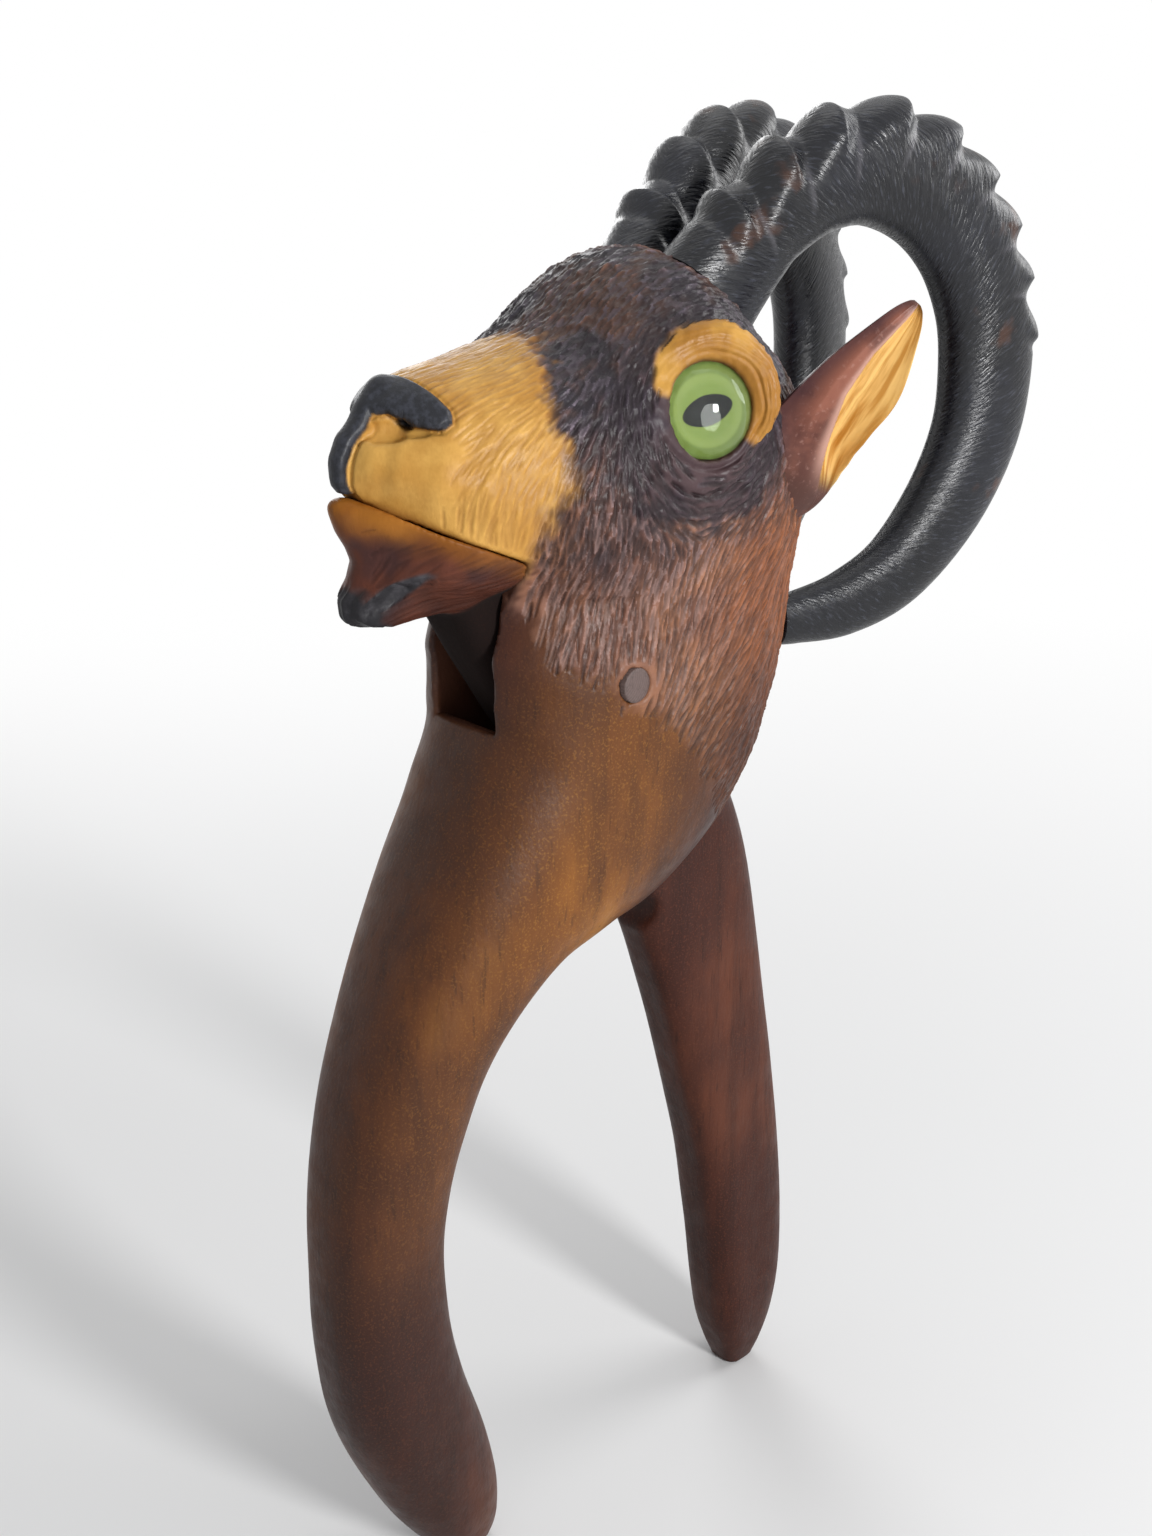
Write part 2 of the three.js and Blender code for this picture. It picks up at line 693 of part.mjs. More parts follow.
function buildLever(head) {
  const beard = solid(sweep(smoothRows(beardShares.map(([reach, height, tall, wide]) =>
    [...inHead([reach, height]), beardHeight * tall, beardWidth * wide, headPower]))));
  const jaw = head.add(beard).intersect(jawSpace(gap));
  const cuts = [floorBlock(), nutHollow(lowerHollowDepth), pinBar(slotWidth, pinDiameter + 2 * gap), ...cups()];
  let lever = jaw.add(solid(sweep(smoothRows(plankRows()))));
  for (const cut of cuts) lever = lever.subtract(cut);
  return lever;
}

function build() {
  const head = buildHead();
  const neck = solid(sweep(neckRows()));
  const parts = [
    piece('body', buildBody(head, neck), materials.wood),
    piece('jaw_lever', buildLever(head), materials.darkWood),
    piece('pivot_pin', pinBar(pinLength, pinDiameter), materials.steel),
  ];
  for (const [name, side] of sides) {
    parts.push(
      piece(`pin_plug_${name}`, plug(side, neck), materials.plug),
      piece(`horn_${name}`, horn(side).subtract(hornDowel(side, gap)).subtract(hornPeg(side, gap)),
        materials.horn),
      piece(`horn_dowel_${name}`, hornDowel(side), materials.dowel),
      piece(`horn_peg_${name}`, hornPeg(side), materials.dowel),
      piece(`ear_${name}`, ear(side).subtract(earDowel(side, gap)), materials.ear),
      piece(`ear_dowel_${name}`, earDowel(side), materials.dowel),
      piece(`eye_glass_${name}`, eyeLens(side), materials.glass),
      piece(`eye_iris_${name}`, eyeIris(side), materials.iris),
    );
  }
  return parts;
}

const model = new THREE.Group();
const layout = new THREE.Group();
layout.position.set(footSetback, 0, pivotHeight);
layout.add(...build());
model.add(layout);

export default model;
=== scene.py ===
import json
import math

import bpy
import numpy as np
import openvdb as vdb
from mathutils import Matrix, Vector, kdtree


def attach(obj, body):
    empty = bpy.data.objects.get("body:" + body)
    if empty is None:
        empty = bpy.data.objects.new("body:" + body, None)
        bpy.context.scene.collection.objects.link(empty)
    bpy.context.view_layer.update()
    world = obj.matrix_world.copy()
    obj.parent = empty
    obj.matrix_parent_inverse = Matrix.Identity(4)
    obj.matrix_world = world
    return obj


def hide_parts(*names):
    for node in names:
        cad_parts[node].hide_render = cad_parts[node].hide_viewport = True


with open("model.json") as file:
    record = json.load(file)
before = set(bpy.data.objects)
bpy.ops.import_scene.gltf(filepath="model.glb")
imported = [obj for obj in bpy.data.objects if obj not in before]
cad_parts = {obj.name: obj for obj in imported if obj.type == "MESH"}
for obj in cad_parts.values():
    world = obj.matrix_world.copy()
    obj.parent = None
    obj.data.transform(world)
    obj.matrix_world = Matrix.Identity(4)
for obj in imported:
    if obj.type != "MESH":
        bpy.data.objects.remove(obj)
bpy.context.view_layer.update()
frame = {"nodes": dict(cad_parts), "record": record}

PIVOT = [1000 * v for v in frame["record"]["behaviour"]["joints"][0]["pos_m"]]
GRID_STEP = 0.5
BAND = 8.4

# Sizes and shares, the same as the solids' own.
PIVOT_HEIGHT = PIVOT[2]
MUZZLE_REACH, HEAD_LENGTH, HEAD_HEIGHT, HEAD_WIDTH = 38.6, 85.0, 63.0, 46.4
NECK_SETBACK, NECK_DEPTH, NECK_WIDTH = 13.0, 67.0, 41.4
HANDLE_REACH, HANDLE_DEPTH, HANDLE_WIDTH = 39.2, 22.8, 18.8
SLOT_WIDTH, SLOT_CLEARANCE, SLOT_DROP, TONGUE_DEPTH = 14.0, 0.4, 7.0, 27.6
TONGUE_WIDTH = SLOT_WIDTH - 2 * SLOT_CLEARANCE
REAR_REACH, REAR_DEPTH = 51.3, 24.0
CUP_HEIGHT, CUP_DEPTH = 9.0, 3.4
PIN_DIAMETER = 5.5
HORN_REACH, HORN_RISE, HORN_DEPTH, HORN_WIDTH = 87.0, 75.0, 19.8, 12.4
HORN_SPACING, HORN_SPLAY, KNOB_HEIGHT = 4.4, math.radians(11.6), 2.2
NOTCHES = (0.041, 0.1, 0.165, 0.228, 0.289, 0.345, 0.399, 0.457, 0.508, 0.558)
EAR_LENGTH, EAR_WIDTH, EAR_THICKNESS, EAR_SEAT = 33.0, 15.6, 8.0, 4.5
EYE_RADIUS, EYE_BULGE, EYE_EDGE = 7.1, 3.4, 0.8
OPEN_TURN = math.radians(28)

# Spines, as shares of the sizes: place along X and Z, depth, width.
NECK = [
    (1.23, 0.75, 0.12, 0.24), (1.23, 0.69, 0.54, 0.78), (1.28, 0.54, 0.84, 1.03), (1.34, 0.33, 0.88, 1.05),
    (1.29, 0.165, 0.92, 1.03), (1.02, -0.015, 0.985, 1), (0.66, -0.18, 0.96, 0.975),
]
HANDLE = [
    (-0.03, 0.866, 2.42, 2.02), (0.2, 0.818, 1.87, 1.9), (0.418, 0.771, 1.44, 1.74),
    (0.62, 0.711, 1.17, 1.56), (0.778, 0.645, 1.06, 1.37), (0.888, 0.576, 1.04, 1.22),
    (0.968, 0.497, 1, 1.09), (0.995, 0.418, 0.98, 1), (0.983, 0.326, 1.01, 1), (0.913, 0.238, 1.03, 1),
    (0.765, 0.14, 0.96, 0.95), (0.658, 0.073, 0.8, 0.83), (0.587, 0.03, 0.58, 0.65), (0.551, 0, 0.34, 0.42),
]
TONGUE = [(-0.468, 0.11, 0.26), (-0.37, 0.093, 0.4), (-0.214, 0.056, 0.7), (0, 0, 1), (0.224, -0.073, 1.01)]
REAR = [
    (0.396, -0.149, 1.2, 1), (0.532, -0.229, 1.22, 1), (0.643, -0.311, 1.17, 1), (0.765, -0.451, 1.04, 1),
    (0.881, -0.604, 0.95, 1), (0.961, -0.747, 0.89, 1), (0.994, -0.854, 0.82, 0.98), (1, -0.924, 0.68, 0.9),
    (0.998, -0.97, 0.48, 0.74), (0.996, -1, 0.3, 0.55),
]
HORN = [
    (0.305, 0.735, 0.96, 1), (0.339, 0.781, 0.92, 1), (0.384, 0.838, 0.88, 1), (0.438, 0.896, 0.86, 0.98),
    (0.547, 0.968, 0.9, 0.96), (0.676, 0.996, 0.98, 0.94), (0.815, 0.95, 1.02, 0.92),
    (0.923, 0.843, 0.99, 0.92), (0.99, 0.7, 0.97, 0.9), (1.012, 0.556, 0.97, 0.88),
    (0.998, 0.395, 0.92, 0.86), (0.926, 0.231, 0.84, 0.82), (0.806, 0.09, 0.71, 0.75),
    (0.672, 0.026, 0.59, 0.66), (0.546, 0.01, 0.46, 0.56), (0.5, 0.01, 0.42, 0.52),
]
# The ear along its length: bend outwards, width, thickness.
EAR = [
    (0, 0, 0.9, 0.86), (0.14, 0.01, 1, 0.95), (0.3, 0.03, 1, 1), (0.46, 0.04, 0.97, 0.95),
    (0.62, 0.03, 0.86, 0.8), (0.78, 0, 0.64, 0.6), (0.92, -0.04, 0.4, 0.4), (0.98, -0.07, 0.22, 0.26),
    (1, -0.08, 0.08, 0.12),
]
# Where the ridge on the ear's front runs, from -1 at the rear edge to 1 at the front edge.
EAR_RIDGE = [(0.05, -0.92), (0.2, -0.62), (0.38, -0.15), (0.55, 0.24), (0.75, 0.4), (0.88, 0.3), (1.0, 0.1)]
# The head along its length: top, bottom, width. LIP has the upper lip's widths, where it is narrower.
HEAD = [
    (0, 0.535, 0.485, 0.06), (0.01, 0.586, 0.426, 0.22), (0.034, 0.646, 0.358, 0.36),
    (0.068, 0.698, 0.298, 0.48), (0.113, 0.732, 0.243, 0.58), (0.172, 0.751, 0.214, 0.66),
    (0.236, 0.765, 0.212, 0.725), (0.313, 0.788, 0.218, 0.79), (0.384, 0.815, 0.215, 0.845),
    (0.442, 0.86, 0.206, 0.892), (0.501, 0.922, 0.175, 0.94), (0.566, 0.975, 0.143, 0.98),
    (0.642, 1, 0.127, 1), (0.724, 0.971, 0.111, 0.975), (0.807, 0.895, 0.111, 0.9),
    (0.889, 0.77, 0.127, 0.77), (0.954, 0.619, 0.175, 0.55), (0.992, 0.476, 0.27, 0.26),
    (1, 0.413, 0.333, 0.05),
]
LIP = {0: 0.05, 0.01: 0.1, 0.034: 0.18, 0.068: 0.3, 0.113: 0.49, 0.172: 0.63}
MOUTH = [
    (-1.3, 0.53), (-1.02, 0.524), (-0.96, 0.489), (-0.88, 0.454), (-0.777, 0.419), (-0.648, 0.384),
    (-0.518, 0.35), (-0.434, 0.326), (-0.412, 0.292), (-0.416, 0.212), (-0.531, 0.048), (-0.57, -0.127),
    (-1.3, -0.127),
]
MOUTH_BACK = MUZZLE_REACH * MOUTH[8][0]
EYE_PLACE, EYE_FACING = (0.3, 0.96, 0.641), (-0.4, 0.905, 0.14)
EAR_ROOT, EAR_DIRECTION, EAR_FACING = (0.83, 0.8, 0.455), (0.38, 0.52, 0.75), (-0.1, 1, 0.15)
CUPS = (-0.2415, -0.2975)
# A spine has this many rings from row to row, and the tongue's fourth row sits on the pivot.
SPINE_STEPS = 6
PIVOT_RING = 3 * SPINE_STEPS

# The beard's outline from the side, half its width along X, and the whole jaw's front line as height and X.
KEEL = [
    (-43, 27), (-43, 11.4), (-36.4, 11.4), (-33, 11.8), (-29.5, 12.5), (-23.7, 13.2), (-21.2, 14.2),
    (-17.4, 17), (-16, 20), (-20, 25), (-30, 27),
]
KEEL_WIDTH = [(-40, 2.2), (-37, 2.8), (-33, 3.6), (-27, 4.8), (-20, 6.4), (-15, 7.6)]
CHIN = [
    (10, -32), (11.4, -36), (12.4, -38.4), (13.7, -39.5), (16.3, -39.8), (18.4, -38), (21.2, -37),
    (23.5, -37.9), (26, -39.5), (29.6, -41.4), (31.9, -42.1), (34, -42.2),
]
# The hollow in the palate and the box that it lies in.
PALATE = (MUZZLE_REACH * -0.64, 0, HEAD_HEIGHT * 0.39)
PALATE_BOX = (-38, -1, 10), (-12, 14, 36)

# Arcs round the eye: angle, distance from its axis, height, radius. A radius below nought ends the arc.
BROW = [
    (-60, 9.4, -1.4, -2), (-30, 9.5, -1.2, 1), (0, 9.8, -1.3, 2.4), (35, 10.1, -1.4, 2.9),
    (75, 10.3, -1.4, 3.2), (100, 10, -1.4, 2.9), (125, 9.6, -1.4, 2.3), (145, 9.2, -1.5, 1.6),
    (160, 9, -1.6, 0.8), (172, 9, -1.8, -0.5), (190, 9, -2, -2),
]
LID = [
    (-10, 8.6, -1.4, -2), (-35, 8.9, -1, 1), (-60, 9.4, -0.9, 1.5), (-95, 9.9, -0.9, 1.5),
    (-130, 10.6, -1, 1.4), (-155, 11.4, -1.2, 1.2), (-172, 12.2, -1.5, 0.8), (-188, 13.2, -1.8, -0.6),
    (-200, 13.2, -2, -2),
]
RIM = [
    (-180, 7.7, -1, 0.8), (-90, 7.7, -1, 0.8), (0, 7.8, -0.8, 0.9), (90, 7.8, -0.7, 1), (180, 7.7, -1, 0.8),
]
EYE_CLEARANCE, EYE_SOCKET_DEPTH = 0.12, 2.6
# Folds in the brow and below the lid: distance from the eye's axis, width, depth.
BROW_FOLDS = [(8.6, 0.24, 0.34), (9.5, 0.2, 0.2), (10.4, 0.22, 0.3), (11.4, 0.2, 0.18), (12.3, 0.2, 0.12)]
LID_FOLDS = [(8.5, 0.35, 0.45), (12.3, 0.5, 0.45), (14, 0.6, 0.35)]

# Outlines from the side: the black nose pad, the ochre muzzle and the fur's lower edge.
NOSE_PAD = [
    (-28.4, 62), (-28.6, 47), (-27.4, 44.6), (-26.6, 42.6), (-27, 41), (-28.6, 40.1), (-30.4, 40.5),
    (-31.6, 41.6), (-33, 42.3), (-34.2, 42.2), (-35.3, 41), (-36.2, 39.9), (-50, 39.5), (-50, 62),
]
MUZZLE = [
    (-4.5, 64), (-6, 52), (-8.6, 49.5), (-10.6, 47.6), (-12.3, 44.4), (-13.8, 39.6), (-11.6, 36.7),
    (-12.2, 32.2), (-15.6, 28.4), (-17.2, 24.2), (-17, 19), (-60, 15), (-60, 64),
]
FUR_EDGE = [
    (-60, 70), (-60, 24), (-16.5, 24), (-14.5, 14), (-13, 10.2), (-9.6, 5.2), (-4.5, 1), (1, -3.5),
    (8, -7.5), (14, -13.5), (21, -22), (29, -34), (40, -46), (60, -46), (60, 70),
]
# Chains of points with radii. The lips swell on both sides of a strip between nose and mouth.
LIP_STRIP = [
    (-30.8, 0, 44.4, 2), (-33, 0, 42, 1.8), (-34.2, 0, 40, 1.6), (-36.4, 0, 37.8, 1.9),
    (-37.6, 0, 35.6, 1.8), (-37.9, 0, 33.4, 1.5),
]
LIP_SWELL = [(-33.6, 2.8, 35.2, 3.6), (-31, 5, 34.6, 4.6), (-27.4, 7.9, 33.6, 5.2), (-23, 11, 31.8, 4.4)]
NOSTRIL = [(-35.9, 2.5, 39.6, 0.8), (-34.7, 3.6, 40.1, 1.8), (-33, 5.1, 40.4, 2.1)]
NOSTRIL_FLANK = [(-31.3, 6.9, 40.2, 1.25), (-30.2, 8, 40.1, 1)]
NOSTRIL_HOLE = [(-31.7, 5.6, 40.9, 1), (-29.6, 4.2, 41.5, 1)]
NOSTRIL_CURL = [(-29.6, 8.7, 40.1, 0.6), (-28.6, 9.5, 39.9, 0.4)]
BEARD_DENT = [(-37.6, 3.6, 14.8, 0.9), (-34.6, 6, 16.6, 1.7), (-30.6, 8.4, 18.6, 1)]
FOOT_TOE = (-20.9, -PIVOT_HEIGHT - 3, 6, 6)
# The foot's flat, which the carving leaves as it is, and how far a plug's face lies under the wood round it.
FOOT_FLAT, PLUG_SINK = -PIVOT_HEIGHT + 0.6, 0.15
# Where the body's and the lever's meshes meet: the face's rear and floor, and heights.
FACE_BACK, FACE_FLOOR, CROWN_FLOOR, NECK_FLOOR, JAW_FLOOR = -6, 14, 22, -38, -20

# Side-view places and slopes in degrees of the fur's strokes.
FUR_GUIDES = [
    (-28, 47, 14), (-23, 45, 10), (-17, 46, 6), (-24, 41, 18), (-16, 42, 2), (-21, 37, 41), (-18, 34, 57),
    (-20, 29, 78), (-21, 26, 92), (-15, 35, 51), (-14, 31, 57), (1, 56, 38), (-3, 49, 46), (-10, 44, 36),
    (3, 56, 36), (9, 57, 23), (15, 62, 12), (15, 56, 6), (29, 53, 149), (-13, 37, 39), (-7, 35, 67),
    (-14, 27, 90), (-3, 39, 102), (-1, 33, 122), (4, 27, 143), (9, 25, 169), (15, 27, 22), (23, 24, 59),
    (-7, 26, 91), (1, 19, 88), (12, 18, 80), (24, 16, 54), (-7, 14, 71), (-2, 10, 82), (9, 6, 77),
    (23, 3, 51), (14, -5, 56), (24, -8, 39), (20, -13, 48), (-11, 14, 66), (12, 62, 15), (2, 43, 68),
    (34, 40, 110), (40, 25, 95), (40, 5, 80), (36, -15, 60), (30, -30, 50), (26, 60, 165), (38, 50, 130),
]


def smooth_rows(rows, steps):
    rows = np.asarray(rows, float)
    out = []
    for i in range(len(rows) - 1):
        before, after = rows[max(i - 1, 0)], rows[min(i + 2, len(rows) - 1)]
        for t in np.arange(steps) / steps:
            ease = t * t * (3 - 2 * t)
            between = rows[i] * (1 - ease) + rows[i + 1] * ease
            out.append(between + (rows[i + 1] - before) / 2 * t * (1 - t) ** 2
                       - (after - rows[i]) / 2 * t * t * (1 - t))
    out.append(rows[-1])
    return np.array(out)


def step_up(x, low, high):
    t = np.clip((x - low) / (high - low), 0, 1)
    return t * t * (3 - 2 * t)


def hill(x, middle, width):
    return np.exp(-((x - middle) / width) ** 2)


def smin(a, b, k):
    h = np.clip(0.5 + 0.5 * (b - a) / k, 0, 1)
    return b + (a - b) * h - k * h * (1 - h)


def smax(a, b, k):
    return -smin(-a, -b, k)


def unit(v):
    v = np.asarray(v, float)
    return v / np.linalg.norm(v)


def mirrored(v, side):
    return np.array([v[0], side * v[1], v[2]], float)


def head_place(place, side):
    return np.array([MUZZLE_REACH * place[0], side * HEAD_WIDTH / 2 * place[1], HEAD_HEIGHT * place[2]])


def directions(length, facing):
    along = unit(length)
    out = unit(np.asarray(facing, float) - along * np.dot(facing, along))
    return along, np.cross(out, along), out


def eye_axes(side):
    """The eye's middle and its directions out of the face, back and up."""
    out, across, up = directions(mirrored(EYE_FACING, side), (0, 0, 1))
    return head_place(EYE_PLACE, side), out, across * -side, up


EYE_AT, EYE_OUT, EYE_BACK, EYE_UP = eye_axes(1)


def eye_frame(x, y, z):
    """Distance from the eye's axis, angle round it in degrees, and height out of the face."""
    dx, dy, dz = x - EYE_AT[0], np.abs(y) - EYE_AT[1], z - EYE_AT[2]
    out, back, up = (dx * v[0] + dy * v[1] + dz * v[2] for v in (EYE_OUT, EYE_BACK, EYE_UP))
    return np.sqrt(back ** 2 + up ** 2), np.degrees(np.arctan2(up, back)), out


def arc_values(angle, table):
    """Values of an arc's table at angles from -180 to 180, which wrap."""
    table = np.array(table, float)
    return [np.interp(angle, table[:, 0], table[:, k], period=360) for k in range(1, table.shape[1])]


class Field:
    """Signed distances on one half of a grid, negative inside."""

    def __init__(self, low, high):
        self.first = [round(v / GRID_STEP) for v in low]
        count = [round(high[i] / GRID_STEP) - self.first[i] + 1 for i in range(3)]
        self.axes = [((self.first[i] + np.arange(count[i])) * GRID_STEP).astype(np.float32) for i in range(3)]
        self.x, self.y, self.z = np.ix_(*self.axes)
        self.d = np.full(count, BAND, np.float32)

    def solid(self, rings):
        """Distance to the closed surface through rings of points."""
        points, faces = skin(rings)
        grid = vdb.FloatGrid.createLevelSetFromPolygons(
            points.astype(np.float32), quads=faces.astype(np.uint32),
            transform=vdb.createLinearTransform(voxelSize=GRID_STEP), halfWidth=BAND / GRID_STEP)
        out = np.zeros_like(self.d)
        grid.copyToArray(out, ijk=tuple(self.first))
        return out

    def change(self, box, how):
        """Changes the distances in a box by a function of them and of x, y and z."""
        cut = tuple(slice(*np.searchsorted(self.axes[i], (box[0][i], box[1][i]))) for i in range(3))
        self.d[cut] = how(self.d[cut], *np.ix_(*(self.axes[i][cut[i]] for i in range(3))))

    def at(self, values, points):
        """Values of another array of this grid at points, from the nearest corners."""
        place = np.stack([points[:, 0], np.abs(points[:, 1]), points[:, 2]], 1)
        index = np.round(place / GRID_STEP).astype(int) - self.first
        index = np.clip(index, 0, np.array(values.shape) - 1)
        return values[tuple(index.T)]

    def mesh(self):
        """Points and quads of the whole surface, both halves, a little smoothed."""
        full = np.clip(np.concatenate([self.d[:, :0:-1], self.d], axis=1), -3, 3)
        grid = vdb.FloatGrid(3.0)
        grid.copyFromArray(np.ascontiguousarray(full, dtype=np.float32))
        points, quads = grid.convertToQuads()
        origin = np.array([self.first[0], -(self.d.shape[1] - 1), self.first[2]]) * GRID_STEP
        points = points.astype(float) * GRID_STEP + origin
        quads = facing_out(points, quads.astype(np.int64))
        return relax(points, quads, 2), quads


def skin(rings):
    """Points and quads of a closed surface through rings of points, with small fans over its ends."""
    rings = np.asarray(rings, float)
    count = rings.shape[1]
    shares = (0.02, 0.33, 0.66)
    middles = rings[0].mean(axis=0), rings[-1].mean(axis=0)
    first = [middles[0] + (rings[0] - middles[0]) * share for share in shares]
    last = [middles[1] + (rings[-1] - middles[1]) * share for share in shares[::-1]]
    stack = np.concatenate([first, rings, last])
    i = np.arange(count)
    j = (i + 1) % count
    faces = [np.stack([r * count + i, r * count + j, (r + 1) * count + j, (r + 1) * count + i], 1)
             for r in range(len(stack) - 1)]
    points = stack.reshape(-1, 3)
    return points, facing_out(points, np.concatenate(faces))


def facing_out(points, quads):
    a, b, c, d = (points[quads[:, k]] for k in range(4))
    volume = np.einsum("ij,ij->", a, np.cross(b, c)) + np.einsum("ij,ij->", a, np.cross(c, d))
    return quads if volume > 0 else quads[:, ::-1].copy()


def circle(count):
    """Angles all the way round, with their cosines and sines."""
    turn = np.linspace(0, 2 * math.pi, count, endpoint=False)
    return turn, np.cos(turn), np.sin(turn)


def oval(power, count=96):
    """Unit oval of a power: its two coordinates all the way round."""
    _, c, s = circle(count)
    return np.sign(c) * np.abs(c) ** (2 / power), np.sign(s) * np.abs(s) ** (2 / power)


def headings(rows):
    run = np.gradient(rows, axis=0)
    return run / np.linalg.norm(run, axis=1)[:, None]


def swept(rows, power):
    """Rings along a spine in the XZ plane. A row is x, z, depth in that plane, width across it."""
    u, v = oval(power)
    return [np.stack([x - rz * depth / 2 * u, width / 2 * v, z + rx * depth / 2 * u], 1)
            for (x, z, depth, width), (rx, rz) in zip(rows, headings(rows[:, :2]))]


def skull(narrow):
    """The head's rings along X."""
    u, v = oval(2.25)
    rings = []
    rows = [(row[0], row[1], row[2], LIP.get(row[0], row[3]) if narrow else row[3]) for row in HEAD]
    for length, top, bottom, width in smooth_rows(rows, SPINE_STEPS):
        middle, half = HEAD_HEIGHT * (top + bottom) / 2, HEAD_HEIGHT * (top - bottom) / 2
        x = HEAD_LENGTH * length - MUZZLE_REACH
        rings.append(np.stack([np.full(len(u), x), HEAD_WIDTH * width / 2 * v, middle + half * u], 1))
    return rings


def ellipsoid(x, y, z, centre, radii, turn=0.0):
    dx, dy, dz = x - centre[0], y - centre[1], z - centre[2]
    c, s = math.cos(turn), math.sin(turn)
    u, w = dx * c + dz * s, -dx * s + dz * c
    a = np.sqrt((u / radii[0]) ** 2 + (dy / radii[1]) ** 2 + (w / radii[2]) ** 2)
    b = np.sqrt((u / radii[0] ** 2) ** 2 + (dy / radii[1] ** 2) ** 2 + (w / radii[2] ** 2) ** 2)
    return a * (a - 1) / np.maximum(b, 1e-5)


def tube(x, y, z, points):
    """Distance to a chain of points with radii."""
    best = 1e3
    for (ax, ay, az, ar), (bx, by, bz, br) in zip(points[:-1], points[1:]):
        d = np.array([bx - ax, by - ay, bz - az], float)
        t = np.clip(((x - ax) * d[0] + (y - ay) * d[1] + (z - az) * d[2]) / np.dot(d, d), 0, 1)
        away = np.sqrt((x - ax - t * d[0]) ** 2 + (y - ay - t * d[1]) ** 2 + (z - az - t * d[2]) ** 2)
        best = np.minimum(best, away - (ar + (br - ar) * t))
    return best


def polygon(x, z, corners):
    """Signed distance to a closed outline in the XZ plane, negative inside."""
    corners = np.asarray(corners, float)
    x, z = np.broadcast_arrays(x, z)
    best = np.full(x.shape, 1e9)
    within = np.zeros(x.shape, bool)
    for (ax, az), (bx, bz) in zip(corners, np.roll(corners, -1, axis=0)):
        dx, dz = bx - ax, bz - az
        t = np.clip(((x - ax) * dx + (z - az) * dz) / max(dx * dx + dz * dz, 1e-9), 0, 1)
        best = np.minimum(best, (x - ax - t * dx) ** 2 + (z - az - t * dz) ** 2)
        if az != bz:
            within ^= ((az > z) != (bz > z)) & (x < ax + (z - az) * dx / dz)
    return (np.sqrt(best) * np.where(within, -1, 1)).astype(np.float32)


def plank_rows():
    """The lever's tongue and rear handle as a spine."""
    tongue = [(REAR_REACH * r, PIVOT_HEIGHT * h, TONGUE_DEPTH * d, TONGUE_WIDTH) for r, h, d in TONGUE]
    handle = [(REAR_REACH * r, PIVOT_HEIGHT * h, REAR_DEPTH * d, TONGUE_WIDTH * w) for r, h, d, w in REAR]
    return smooth_rows(tongue + handle, SPINE_STEPS)


def plank_edge(side, clearance, turn=0.0):
    rows = plank_rows()
    run = headings(rows[:, :2])
    reach = side * (rows[:, 2] / 2 + clearance)
    x, z = rows[:, 0] - run[:, 1] * reach, rows[:, 1] + run[:, 0] * reach
    return np.stack([x * math.cos(turn) - z * math.sin(turn), x * math.sin(turn) + z * math.cos(turn)], 1)


def mouth_outline(shift=0.0):
    return [(MUZZLE_REACH * r - shift, HEAD_HEIGHT * h - shift) for r, h in MOUTH]


def pad_mask(x, y, z):
    """How far inside the nose pad's outline a place is; the strip between nose and lip is narrow."""
    strip = np.maximum(np.abs(y) - (1.25 + 0.06 * np.maximum(z - 33, 0)), np.maximum(31.5 - z, x + 31))
    return -np.minimum(polygon(x, z, NOSE_PAD), strip)


def add_arc(table, blend):
    """A change of a field that adds a round arc about the eye."""
    def change(d, x, y, z):
        away, angle, out = eye_frame(x, y, z)
        ring, height, radius = arc_values(angle, table)
        return smin(d, np.sqrt((away - ring) ** 2 + (out - height) ** 2) - radius, blend)
    return change


def cut_socket(d, x, y, z):
    away, _, out = eye_frame(x, y, z)
    return smax(d, -np.maximum(away - EYE_RADIUS - EYE_CLEARANCE, -out - EYE_SOCKET_DEPTH), 0.25)


def slot_room(field):
    """Distance to the room that the lever takes from closed to open."""
    room = 2 * SLOT_CLEARANCE
    front = [(MOUTH_BACK - SLOT_WIDTH, -SLOT_DROP), (MOUTH_BACK, -SLOT_DROP)]
    front.append(plank_edge(-1, room)[PIVOT_RING])
    gap = polygon(field.x, field.z, front + list(plank_edge(1, room)[:PIVOT_RING + 1][::-1]))
    for turn in np.linspace(0, OPEN_TURN, 5):
        outline = np.concatenate([plank_edge(-1, room, turn), plank_edge(1, room, turn)[::-1]])
        gap = np.minimum(gap, polygon(field.x, field.z, outline[::2]))
    return np.maximum(gap, field.y - SLOT_WIDTH / 2)


